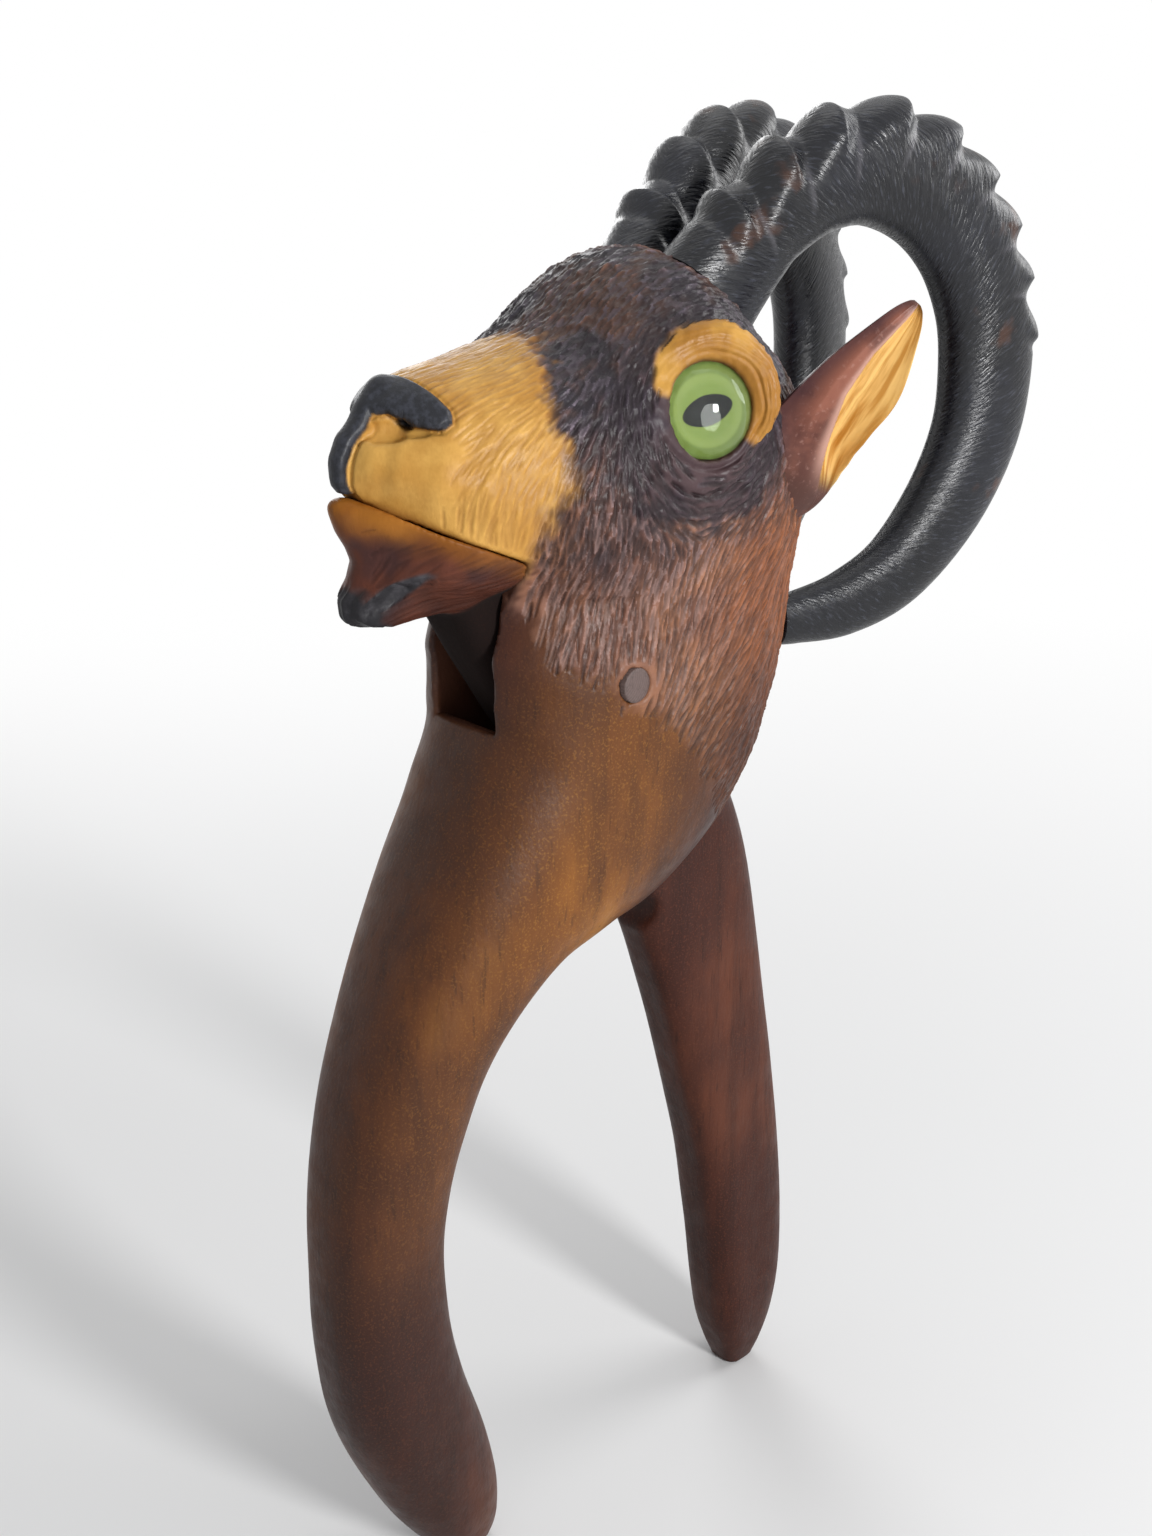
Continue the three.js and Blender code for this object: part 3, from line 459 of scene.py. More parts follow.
def body_field():
    """The head, neck and front handle, and a copy of its distances from before the lever's room is cut."""
    field = Field((-54, 0, -PIVOT_HEIGHT - 2), (51, 29, 68))
    field.d = field.solid(skull(True))
    field.change(((-42, -1, 24), (-14, 20, 46)), lambda d, x, y, z: smin(d, tube(x, y, z, LIP_SWELL), 2.0))
    field.change(((-42, -1, 28), (-26, 9, 48)), lambda d, x, y, z: smin(d, tube(x, y, z, LIP_STRIP), 0.5))
    neck = [(NECK_SETBACK * b, NECK_DEPTH * h, NECK_DEPTH * d, NECK_WIDTH * w) for b, h, d, w in NECK]
    handle = [(-HANDLE_REACH * r, PIVOT_HEIGHT * (h - 1), HANDLE_DEPTH * d, HANDLE_WIDTH * w)
              for r, h, d, w in HANDLE]
    spine = smooth_rows(neck + handle + [FOOT_TOE], SPINE_STEPS)
    field.d = smin(field.d, field.solid(swept(spine, 2.4)), 7.0)
    cheek = (2, 13.4, 28), (15, 8.2, 12), 0.5
    field.change(((-16, 6, 14), (20, 26, 44)), lambda d, x, y, z: smin(d, ellipsoid(x, y, z, *cheek), 6.0))

    eye_box = (EYE_AT[0] - 16, 8, EYE_AT[2] - 16), (EYE_AT[0] + 16, 28, EYE_AT[2] + 16)
    for how in (add_arc(BROW, 1.6), add_arc(LID, 1.0), add_arc(RIM, 0.5), cut_socket):
        field.change(eye_box, how)
    for cut, blend in ((NOSTRIL, 0.5), (NOSTRIL_FLANK, 0.4), (NOSTRIL_HOLE, 0.3), (NOSTRIL_CURL, 0.4)):
        field.change(((-42, -1, 34), (-24, 16, 46)), lambda d, x, y, z: smax(d, -tube(x, y, z, cut), blend))

    uncut = field.d.copy()
    field.d = smax(field.d, -slot_room(field), 0.7)
    lip = step_up(field.x, -22.0, -31.0) * step_up(field.y, 1.0, 3.0)
    field.d = smax(field.d, -polygon(field.x, field.z, mouth_outline()), 0.4 + 1.3 * lip)
    field.change(PALATE_BOX, lambda d, x, y, z: smax(d, -ellipsoid(x, y, z, PALATE, (10, 10, 8)), 0.6))
    field.change(((-6, 8, -6), (6, 24, 6)), lambda d, x, y, z: smax(
        d, -np.maximum(np.sqrt(x ** 2 + z ** 2) - PIN_DIAMETER / 2 - 0.06, 14 - y), 0.2))
    field.d = smax(field.d, -PIVOT_HEIGHT - field.z, 1.0)
    return field, uncut


def lever_field():
    """The lower jaw with its beard, the tongue and the rear handle."""
    field = Field((-45, 0, -PIVOT_HEIGHT - 2), (67, 18, 37))
    x, y, z = field.x, field.y, field.z
    # The beard carries on the chin's underside, with flat sides that widen to the back.
    half = np.interp(x, *np.array(KEEL_WIDTH).T)
    keel = smax(polygon(x, z, KEEL), y - half - 0.46 * (z - 12), 1.4)
    jaw = smin(field.solid(skull(False)), keel, 1.6)
    jaw = smin(jaw, ellipsoid(x, y, z, (-33.5, 0, 28.2), (8.6, 8.4, 6.4), -0.4), 2.0)
    front = np.interp(z, *np.array(CHIN).T)
    jaw = smax(jaw, 0.75 * (front + 0.86 * (np.sqrt(y ** 2 + 4) - 2) - x), 1.6)
    top = np.maximum(polygon(x, z, mouth_outline(0.16)), y - 20)
    jaw = smax(jaw, top, 0.4 + 0.4 * step_up(x, -18.0, -30.0) + 5.0 * step_up(x, -33.5, -39.5))
    jaw = smax(jaw, -tube(x, y, z, BEARD_DENT), 0.8)
    field.d = smin(jaw, field.solid(swept(plank_rows(), 3.4)), 2.0)
    field.change(PALATE_BOX, lambda d, x, y, z: smax(d, -ellipsoid(x, y, z, PALATE, (10, 10, 4)), 0.6))
    edge = plank_edge(-1, 0)
    radius = (CUP_HEIGHT ** 2 / 4 + CUP_DEPTH ** 2) / (2 * CUP_DEPTH)
    for height in (PIVOT_HEIGHT * share for share in CUPS):
        after = next(i for i in range(PIVOT_RING + 2, len(edge)) if edge[i][1] < height)
        at = edge[after][0] - (radius - CUP_DEPTH)
        field.change(((0, -1, height - CUP_HEIGHT), (50, 17, height + CUP_HEIGHT)), lambda d, x, y, z: smax(
            d, radius - np.sqrt((x - at) ** 2 + (z - height) ** 2), 1.2))
    field.d = smax(field.d, -PIVOT_HEIGHT - field.z, 0.8)
    return field


def normals_of(points, quads):
    a, b, c, d = (points[quads[:, k]] for k in range(4))
    face = np.cross(c - a, d - b)
    out = np.zeros_like(points)
    for k in range(4):
        for axis in range(3):
            out[:, axis] += np.bincount(quads[:, k], face[:, axis], len(points))
    return out / np.maximum(np.linalg.norm(out, axis=1), 1e-12)[:, None]


def relax(points, quads, rounds, moves=1.0):
    """Averages each point with its neighbours, then gives back what that shrank."""
    edges = np.concatenate([quads[:, [k, (k + 1) % 4]] for k in range(4)])
    a, b = edges.T
    count = np.bincount(a, minlength=len(points)) + np.bincount(b, minlength=len(points))
    for i in range(2 * rounds):
        mean = np.stack([np.bincount(a, points[b, k], len(points)) + np.bincount(b, points[a, k], len(points))
                         for k in range(3)], 1)
        mean /= np.maximum(count, 1)[:, None]
        step = (mean - points) * (0.5 if i % 2 == 0 else -0.5 * 1.03)
        points = points + step * np.reshape(moves, (-1, 1))
    return points


def refine(points, quads, chosen):
    """Splits the chosen quads in four. Gives the points, both sorts of quads, which points may move, and the
    new points on the border with the points on both sides of each."""
    mine, rest = quads[chosen], quads[~chosen]

    def sides(faces):
        pairs = np.stack([faces, np.roll(faces, -1, axis=1)], axis=2).reshape(-1, 2)
        return pairs.min(axis=1) * len(points) + pairs.max(axis=1)

    keys, where = np.unique(sides(mine), return_inverse=True)
    ends = np.stack([keys // len(points), keys % len(points)], 1)
    base = len(points)
    where = where.reshape(-1, 4) + base
    centre = np.arange(len(mine)) + base + len(keys)
    small = [np.stack([mine[:, k], where[:, k], centre, where[:, k - 1]], 1) for k in range(4)]
    border = np.isin(keys, sides(rest))
    moves = np.ones(base + len(keys) + len(mine), bool)
    moves[base:base + len(keys)][border] = False
    moves[rest.ravel()] = False
    points = np.concatenate([points, points[ends].mean(axis=1), points[mine].mean(axis=1)])
    return points, np.concatenate(small), rest, moves, base + np.where(border)[0], ends[border]


def noise(points, size, seed):
    """Smooth random values from -1 to 1, from a few waves in random directions."""
    random = np.random.default_rng(seed)
    total = np.zeros(len(points))
    for _ in range(14):
        wave = random.normal(0, 1, 3) / size * 2.2
        total += np.sin(points @ wave + random.random() * 6.28)
    return total / 3.7


def fur_slopes(points):
    """Side-view direction of the fur at each point, from the guides."""
    c2, s2 = np.zeros(len(points)), np.zeros(len(points))
    for gx, gz, angle in np.array(FUR_GUIDES, float):
        w = np.exp(-((points[:, 0] - gx) ** 2 + (points[:, 2] - gz) ** 2) / (2 * 4.6 ** 2)) + 1e-9
        c2 += w * math.cos(math.radians(2 * angle))
        s2 += w * math.sin(math.radians(2 * angle))
    return np.arctan2(s2, c2) / 2


def carve(points, normals, chosen, sizes, seed, slopes_at, spacing):
    """Gouge strokes along the fur. Gives each point the depth cut there and the stroke's own tone."""
    random = np.random.default_rng(seed)
    depth = np.zeros(len(points))
    tone = np.full(len(points), 0.5)
    index = np.where(chosen > 0.02)[0]
    tree = kdtree.KDTree(len(index))
    for k, i in enumerate(index):
        tree.insert(points[i], k)
    tree.balance()
    cells = np.floor(points[index] / spacing + random.random(3)).astype(np.int64)
    keys = cells @ np.array([1, 4096, 16777216])
    order = random.permutation(len(index))
    seeds = index[order[np.unique(keys[order], return_index=True)[1]]]
    random.shuffle(seeds)
    for i, slope in zip(seeds, slopes_at(points[seeds])):
        if random.random() > chosen[i]:
            continue
        long, wide, deep = sizes(points[i], random)
        slope += random.normal(0, 0.10)
        n = normals[i]
        run = np.array([math.cos(slope), 0, math.sin(slope)])
        run -= n * np.dot(run, n)
        size = np.linalg.norm(run)
        if size < 0.2:
            continue
        run /= size
        across = np.cross(n, run)
        found = tree.find_range(points[i], long / 2 + wide)
        near = index[[k for _, k, _ in found]]
        away = points[near] - points[i]
        a = away @ run / (long / 2)
        s = (away @ across + 0.22 * a * a * (random.random() - 0.5)) / (wide / 2)
        cut = deep * np.clip(1 - s * s, 0, 1) ** 0.8 * np.clip(1 - np.abs(a) ** 2.4, 0, 1) * (0.8 + 0.2 * a)
        more = cut > depth[near]
        depth[near[more]] = cut[more]
        tone[near[more]] = random.random()
    return depth, tone


def linked(name, data):
    thing = bpy.data.objects.new(name, data)
    bpy.context.scene.collection.objects.link(thing)
    return thing


def new_object(name, points, faces, shading=None):
    mesh = bpy.data.meshes.new(name)
    mesh.vertices.add(len(points))
    mesh.vertices.foreach_set("co", (np.asarray(points) + PIVOT).astype(np.float32).ravel() * 0.001)
    mesh.loops.add(faces.size)
    mesh.loops.foreach_set("vertex_index", faces.astype(np.int32).ravel())
    mesh.polygons.add(len(faces))
    mesh.polygons.foreach_set("loop_start", np.arange(0, faces.size, faces.shape[1], dtype=np.int32))
    mesh.update(calc_edges=True)
    mesh.validate()
    mesh.polygons.foreach_set("use_smooth", np.ones(len(mesh.polygons), bool))
    if shading is not None:
        mesh.normals_split_custom_set_from_vertices(shading)
    return linked(name, mesh)


def lofted(name, rings):
    return new_object(name, *skin(rings))


def set_values(thing, **values):
    for name, value in values.items():
        layer = thing.data.attributes.new(name, "FLOAT", "POINT")
        layer.data.foreach_set("value", np.asarray(value, np.float32))


def finish_piece(thing, body, node, material):
    thing.data.materials.append(material)
    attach(thing, body)
    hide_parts(node)


class Carving:
    """A surface whose chosen quads are fine. Its points on the border stay on the coarse quads' edges."""

    def __init__(self, points, quads, chosen):
        points, fine, rest, self.moves, self.border, self.ends = refine(points, quads, chosen)
        self.points = relax(points, fine, 1, moves=self.moves)
        self.quads = np.concatenate([fine, rest])
        self.normals = normals_of(self.points, self.quads)

    def settle(self, values):
        values[self.border] = values[self.ends].mean(axis=1)
        return values

    def pieces(self, name, lift, groups, values):
        """The lifted surface as several meshes that share points and normals along their borders. The
        feet's flats stay still."""
        still = self.points[:, 2] < FOOT_FLAT
        moved = self.settle(self.points + self.normals * np.where(still, 0, lift)[:, None])
        shading = self.settle(normals_of(moved, self.quads))
        middle = moved[self.quads].mean(axis=1)
        for label, mine in groups(*middle.T).items():
            used, inverse = np.unique(self.quads[mine], return_inverse=True)
            thing = new_object(f"{name}_{label}", moved[used], inverse.reshape(-1, 4), shading[used])
            set_values(thing, **{key: value[used] for key, value in values.items()})
            yield thing


def eye_folds(x, y, z):
    """Depth of the folds round the eye: creases in the brow, under the lid and below it."""
    away, angle, out = eye_frame(x, y, z)
    over = np.interp(angle, (-60, -25, 40, 80, 120, 160), (0, 1, 1, 0.6, 0.3, 0), period=360)
    under = np.interp(angle, (-175, -140, -60, -30), (0, 1, 1, 0))
    wave = 0.35 * np.sin(np.radians(angle) * 2 + 0.5) + 0.12 * np.sin(np.radians(angle) * 7 + away)
    lines = np.zeros(len(x))
    for ring, wide, deep in BROW_FOLDS:
        lines += deep * hill(away - ring, wave, wide) * over
    front = 0.8 * (angle < -120) * (-120 - angle) / 50
    for ring, wide, deep in LID_FOLDS:
        lines += deep * hill(away - ring, front, wide) * under
    return lines * (out > -6)


def body_mesh():
    """The body's surface, fine where it is furry and on the face, and each point's depth in cut rooms."""
    field, uncut = body_field()
    points, quads = field.mesh()
    x, y, z = points.T
    lip = step_up(x, -20.0, -25.0) * step_up(z, 39.0, 37.6) * step_up(-pad_mask(x, y, z), 0.3, 1.0)
    lip *= step_up(polygon(x, z, mouth_outline()), 0.5, 1.4)
    points = relax(points, quads, 16, moves=lip)
    middle = points[quads].mean(axis=1)
    furry = polygon(middle[:, 0], middle[:, 2], FUR_EDGE) < 4.8
    facial = (middle[:, 2] > 24) & (middle[:, 0] < -8)
    carving = Carving(points, quads, (furry | facial) & (field.at(uncut, middle) > -0.8))
    return carving, -field.at(uncut, carving.points)


def body_masks(points, sunk):
    """Where each stain and each sort of carving lies, from 0 to 1, and where shade is painted into the
    nostril hole.
    """
    x, y, z = points.T
    rolled = step_up(x, -16.0, -24.0) * (z > 20)
    wobble = 0.7 * noise(points, 3.0, 1) + 0.35 * noise(points, 1.0, 2)
    away, angle, out = eye_frame(x, y, z)
    ring, _, radius = arc_values(angle, BROW)
    brow = step_up(radius + ring - away + 0.2 * wobble, -0.5, 0.5) * (out > -5) * step_up(radius, 0.0, 1.0)
    below = np.interp(angle, (-180, -150, -30, 0), (0.9, 1.2, 0.9, 0), period=360)
    softness = 1.2 + 1.3 * step_up(z, 41.0, 33.0)
    return {
        "inner": step_up(sunk, 0.3 + 0.7 * rolled, 1.1 + 0.7 * rolled),
        "pad": step_up(pad_mask(x, y, z) + 0.05 * noise(points, 1.2, 3), -0.25, 0.0) * (x < -22),
        "muzzle": step_up((wobble - polygon(x, z, MUZZLE)) / softness, -1.0, 1.1),
        "brow": brow,
        "lid": step_up(away - 4.5 * below + 2.0 * wobble, 15.0, 10.5) * (out > -8) * (1 - brow),
        "rim": step_up(away, 7.9, 7.2) * (out > -6),
        "fur": step_up(-polygon(x, z, FUR_EDGE) + 1.6 * wobble, -2.6, 1.5),
        "lip": step_up(-x - 24.5 + 0.22 * (z - 36) + 0.5 * wobble, 0, 4.5) * step_up(z, 43.5, 40.5),
        # Painted shade in the deep nostril hole.
        "nostril_shade": step_up(tube(x, np.abs(y), z, NOSTRIL_HOLE), 0.6, 0.1),
    }


def fur_sizes(place, random):
    """A stroke's length, width and depth: fine on the muzzle, broad on the crown."""
    if polygon(place[0], place[2], MUZZLE) < 0:
        ranges = (3.6, 6.4), (0.5, 0.75), (0.12, 0.26)
    elif place[2] > 46 and abs(place[1]) < 20:
        ranges = (3.0, 4.8), (0.9, 1.4), (0.45, 0.75)
    elif place[2] > 20:
        ranges = (3.0, 5.0), (0.6, 0.85), (0.35, 0.6)
    else:
        ranges = (3.4, 6.2), (0.5, 0.7), (0.25, 0.45)
    return [random.uniform(*limits) for limits in ranges]


def body_groups(x, y, z):
    """Which of the body's quads go to which mesh, by their middles."""
    face, handle = (x <= FACE_BACK) & (z > FACE_FLOOR), z <= NECK_FLOOR
    crown = ~face & (z > CROWN_FLOOR)
    neck = ~(face | crown | handle)
    return {"muzzle": face, "crown_left": crown & (y <= 0), "crown_right": crown & (y > 0),
            "neck_left": neck & (y <= 0), "neck_right": neck & (y > 0), "handle": handle}


def lever_groups(_x, _y, z):
    return {"jaw": z > JAW_FLOOR, "handle": z <= JAW_FLOOR}


def build_body(material):
    """Makes the body's pieces and gives the height of the neck's side round the plugs."""
    carving, sunk = body_mesh()
    points = carving.points
    x, y, z = points.T
    mask = body_masks(points, sunk)
    open_air, fur = 1 - mask["inner"], mask["fur"]
    away, _, out = eye_frame(x, y, z)
    from_pin = np.hypot(x, z)
    chosen = fur * (1 - mask["pad"]) * (1 - mask["brow"]) * (1 - step_up(away, 9.6, 8.8) * (out > -6))
    chosen = chosen * (1 - mask["lip"]) * open_air * np.where((mask["lid"] > 0.5) & (away < 12.6), 0.55, 1.0)
    chosen = chosen * step_up(polygon(x, z, mouth_outline()), 0.6, 2.2) * step_up(from_pin, 3.6, 4.6)
    chosen = chosen * np.maximum(carving.moves, 0.3)
    depth, tone = carve(points, carving.normals, chosen, fur_sizes, 11, fur_slopes, 1.25)
    depth = depth * carving.moves

    # The pad stands out, with a crease round it, and the whole surface is a little uneven.
    pad, nose = pad_mask(x, y, z), (x < -22) * open_air
    lift = 0.7 * step_up(pad, -0.2, 0.7) * nose - 0.28 * hill(pad, -0.3, 0.28) * (x > -37) * nose
    lift -= 0.50 * hill(pad, -0.35, 0.36) * step_up(x, -34.0, -36.0) * step_up(z, 40, 39) * open_air
    lift -= eye_folds(x, y, z)
    lift += 0.10 * fur * open_air - 0.05 * noise(points, 0.9, 5) * fur * (1 - mask["muzzle"])
    lift += 0.10 * noise(points, 7.0, 6) * open_air * fur * (1 - mask["lip"])
    lift += 0.05 * noise(points, 14.0, 7) * open_air
    # The groove value carries the painted shade of the strokes' grooves.
    values = {**mask, "tone": tone, "groove_shade": np.clip(depth / 0.34, 0, 1)}
    del values["lip"]
    for thing in carving.pieces("body", lift - depth, body_groups, values):
        finish_piece(thing, "frame", "body", material)
    return y[(from_pin < 4) & (from_pin > 2.9)].max()


def build_lever(material):
    points, quads = lever_field().mesh()
    middle = points[quads].mean(axis=1)
    carving = Carving(points, quads, (middle[:, 2] > -2) & (middle[:, 0] < -14))
    points = carving.points
    x, y, z = points.T
    jaw = step_up(0.9 * (z - 12.5) - 0.55 * (x + 24), -1.0, 1.0) * (z > 6)
    beard = step_up(-x - 36.2 + 0.7 * (15.5 - z) + 0.5 * noise(points, 2.5, 22), -0.8, 1.0)
    beard *= step_up(z, 20.0, 18.0)
    dent = np.hypot((x + 34.8 - 0.5 * (z - 16.8)) / 3.5, (z - 16.8 - 0.5 * (x + 34.8)) / 1.9)
    beard = np.maximum(beard, step_up(dent, 1.15, 0.85) * (np.abs(y) > 2)) * (x < -20) * (z > 8)
    lip = step_up(z - (23.4 - 0.34 * (x + 26)) + 0.5 * noise(points, 4, 23), -3.5, 2.0) * jaw
    random = np.random.default_rng(5)
    tufts = np.zeros(len(points))
    for _ in range(60):
        ax, ay = random.uniform(-39, -24), random.uniform(-6, 6)
        along = (x - ax) * 0.97 + (z - 14) * 0.15
        s = (y - ay + 0.12 * along) / 0.7
        tufts += 0.24 * np.clip(1 - s * s, 0, 1) * hill(along, 0, 3.5)
    tufts = np.minimum(tufts, 0.45) * beard
    grained = jaw * (1 - lip) ** 3 * (1 - beard) * carving.moves * (np.abs(carving.normals[:, 1]) > 0.55)

    def sizes(place, random):
        return random.uniform(5, 9), random.uniform(0.5, 0.8), random.uniform(0.08, 0.2)

    lines, _ = carve(points, carving.normals, grained, sizes, 12, lambda p: np.full(len(p), 0.5), 2.2)
    lift = 0.05 * noise(points, 14.0, 24) - tufts - lines
    # The groove value carries the painted shade of the jaw's carved lines.
    values = {"jaw": jaw, "beard": beard, "lip": lip, "groove_shade": np.clip(lines / 0.2, 0, 1)}
    for thing in carving.pieces("lever", lift, lever_groups, values):
        finish_piece(thing, "lever", "jaw_lever", material)


def with_caps(rings):
    """Values of a lofted piece's rings, with noughts for the three rings at each end."""
    caps = [np.zeros(len(rings[0]))] * 3
    return np.concatenate(caps + rings + caps)


def along_rings(places, count):
    """One value for each ring of a lofted piece, from 0 to 1 with its ends."""
    return np.repeat(np.concatenate([[0] * 3, places, [1] * 3]), count)


def knob_shape(place, around, bend):
    """Height of the horn's knobs all round one ring, and of the thin rim in each dip. The outer edge is
    where around is 1."""
    lagged = place + 0.020 * (1 - around) ** 1.2
    phase = np.interp(lagged, NOTCHES, np.arange(len(NOTCHES)))
    knob = np.floor(phase).astype(int)
    part = phase - knob
    # A knob rises from the root's side to a sharp crest and drops into a scoop on the tip's side.
    crest = 0.72 + bend[knob]
    bump = np.where(part < crest, np.sin(np.clip(part / crest, 0, 1) * math.pi / 2) ** 1.1,
                    np.clip((1 - part) / (1 - crest), 0, 1) ** 1.5)
    ends = step_up(lagged, NOTCHES[-1], NOTCHES[-1] - 0.02) * step_up(lagged, NOTCHES[0], NOTCHES[0] + 0.02)
    low = 0.4 * float(step_up(place, 0.12, 0.42))
    height = KNOB_HEIGHT * ends * step_up(around, low, low + 0.5) * (bump - 0.60)
    # The thin rim stands out a little and also sets where a highlight is painted.
    rim = hill(part, 0.95, 0.05) * step_up(around, low - 0.35, low - 0.05)
    rim = rim * step_up(around, low + 0.6, low + 0.3)
    return height, rim * ends


def build_horn(name, side, material):
    def place_at(reach, rise):
        x = HORN_REACH * reach * math.cos(HORN_SPLAY)
        return np.array([x, side * (HORN_SPACING / 2 + x * math.tan(HORN_SPLAY)), HORN_RISE * rise])

    rows = smooth_rows(HORN, 28)
    count = 84
    at = np.array([place_at(r, z) for r, z in rows[:, :2]])
    place = np.concatenate([[0], np.cumsum(np.linalg.norm(np.diff(at, axis=0), axis=1))])
    length = place[-1]
    place /= length
    flat = np.array([math.cos(HORN_SPLAY), side * math.sin(HORN_SPLAY), 0])
    run = headings(at)
    outward = flat[None] * -run[:, 2:3] + np.array([0, 0, 1.0])[None] * (run @ flat)[:, None]
    aside = np.cross(flat, (0, 0, 1)) * -1
    turn, c, s = circle(count)
    u, v = oval(2.3, count)
    bend = np.random.default_rng(31 + side).uniform(-0.1, 0.1, len(NOTCHES) + 3)
    rings, ridge = [], []
    for i, row in enumerate(rows):
        half_a, half_b = HORN_DEPTH * row[2] / 2, HORN_WIDTH * row[3] / 2
        height, rim = knob_shape(place[i], c, bend)
        ring = at[i] + outward[i] * (half_a * u)[:, None] + aside * (half_b * v)[:, None]
        normal = outward[i] * (c / half_a)[:, None] + aside * (s / half_b)[:, None]
        normal /= np.linalg.norm(normal, axis=1)[:, None]
        rings.append(ring + normal * (height + 0.06 * rim)[:, None])
        ridge.append(rim)
    thing = lofted(f"horn_shaped_{name}", rings)
    # The ridge value carries the painted highlight along each knob's rim.
    set_values(thing, ridge=with_caps(ridge), run=along_rings(place, count) * length / 1000,
               round=np.tile(np.abs(turn - math.pi) * 0.008, len(place) + 6))
    finish_piece(thing, "frame", f"horn_{name}", material)


def build_ear(name, side, material):
    """From its front edge back, the ear's front has a smooth face, a ridge and a ribbed hollow."""
    along, across, out = directions(mirrored(EAR_DIRECTION, side), mirrored(EAR_FACING, side))
    root = head_place(EAR_ROOT, side) - along * EAR_SEAT
    rows = smooth_rows(EAR, 20)
    count = 128
    _, c, s = circle(count)
    to_front = -side * c
    front = s > 0
    face = (-1, -0.92, -0.66, -0.25, 0.12, 0.30, 0.38, 0.7, 1), (0, 0.5, -0.2, -0.5, -0.1, 0.72, 0.8, 0.62, 0)
    rings, hollow, line, cross = [], [], [], []
    for share, bend, width, thick in rows:
        wide, half = EAR_WIDTH * width / 2, EAR_THICKNESS * thick / 2
        middle = root + along * (EAR_LENGTH + EAR_SEAT) * share + out * EAR_THICKNESS * bend
        middle = middle - across * side * 1.5 * share ** 1.5
        wider = 0.06 + 0.34 * hill(share, 0.08, 0.2) + 0.34 * hill(share, 0.72, 0.2)
        flare = 1 + wider * np.clip(-to_front, 0, 1)
        # g runs across the front, with the ridge always at 0.34.
        ridge = np.interp(share, *np.array(EAR_RIDGE).T)
        g = np.where(to_front > ridge, 0.34 + 0.66 * (to_front - ridge) / (1 - ridge),
                     -1 + 1.34 * (to_front + 1) / (1 + ridge))
        deep, ribbed = float(step_up(share, 0.12, 0.36)), float(step_up(share, 0.2, 0.4))
        wrinkles = 0.34 * np.sin(g * 19 + 2.2 * share) * step_up(np.abs(g + 0.28), 0.62, 0.4) * ribbed
        lift = half * np.where(front, s * (1 - deep) + np.interp(g, *face) * deep, s)
        lift = lift + np.where(front, wrinkles * thick, 0)
        back = 0.22 * np.cos(c * 9 + 2 * share) * (s < 0) * ribbed
        rings.append(middle + across * (wide * c * flare)[:, None] + out * (lift - back)[:, None])
        opened = float(step_up(share, 0.16, 0.26))
        hollow.append(step_up(g, 0.36, 0.28) * front * step_up(g, -1, -0.95) * opened)
        # This line carries the highlight painted along the ridge.
        line.append(hill(g, 0.38, 0.07) * front * deep)
        cross.append(g * 0.0075)
    thing = lofted(f"ear_shaped_{name}", rings)
    place = along_rings(rows[:, 0], count)
    set_values(thing, hollow=with_caps(hollow), line=with_caps(line), along=place, run=place * 0.0375,
               cross=with_caps(cross))
    finish_piece(thing, "frame", f"ear_{name}", material)


def turned(side, profile):
    """Rings round the eye's axis from radii and heights."""
    at, out, back, up = eye_axes(side)
    _, c, s = circle(96)
    ring = back[None] * c[:, None] + up[None] * s[:, None]
    return [at + out * h + ring * max(r, 0.01) for r, h in profile]


def build_eye(name, side, glass, iris):
    sphere = (EYE_RADIUS ** 2 + EYE_BULGE ** 2) / (2 * EYE_BULGE)
    widest = math.asin(EYE_RADIUS / sphere)
    profile = [(sphere * math.sin(widest * t), sphere * math.cos(widest * t) - (sphere - EYE_BULGE))
               for t in np.linspace(0.02, 1, 26)]
    profile += [(EYE_RADIUS, -0.3), (EYE_RADIUS, -0.6), (EYE_RADIUS - 0.15, -0.78),
                (EYE_RADIUS - 0.5, -EYE_EDGE), (3, -EYE_EDGE)]
    dome = lofted(f"eye_dome_{name}", turned(side, profile))
    finish_piece(dome, "frame", f"eye_glass_{name}", glass)
    front = -EYE_EDGE - 0.1
    profile = [(r, front - 0.05 * math.sin(r)) for r in np.linspace(0.1, EYE_RADIUS - 0.1, 30)]
    profile += [(EYE_RADIUS, front - 0.2), (EYE_RADIUS, front - 0.8), (EYE_RADIUS - 0.2, front - 1),
                (3, front - 1)]
    points, faces = skin(turned(side, profile))
    disc = new_object(f"eye_disc_{name}", points, faces)
    at, _, back, up = eye_axes(side)
    set_values(disc, eye_back=(points - at) @ back, eye_up=(points - at) @ up)
    finish_piece(disc, "frame", f"eye_iris_{name}", iris)


def build_plug(name, side, outer, material):
    radius = PIN_DIAMETER / 2
    profile = [(0.05, 0), (radius * 0.5, -0.02), (radius * 0.8, -0.05), (radius * 0.96, -0.1),
               (radius, -0.25), (radius, -4), (radius * 0.9, -6)]
    _, c, s = circle(48)
    rings = [np.stack([r * c, np.full(48, side * (outer + h)), r * s], 1) for r, h in profile]
    finish_piece(lofted(f"plug_turned_{name}", rings), "frame", f"pin_plug_{name}", material)


def rgb(text):
    """A hex colour as linear light."""
    parts = [int(text[i:i + 2], 16) / 255 for i in (0, 2, 4)]
    return tuple(p / 12.92 if p <= 0.04045 else ((p + 0.055) / 1.055) ** 2.4 for p in parts)


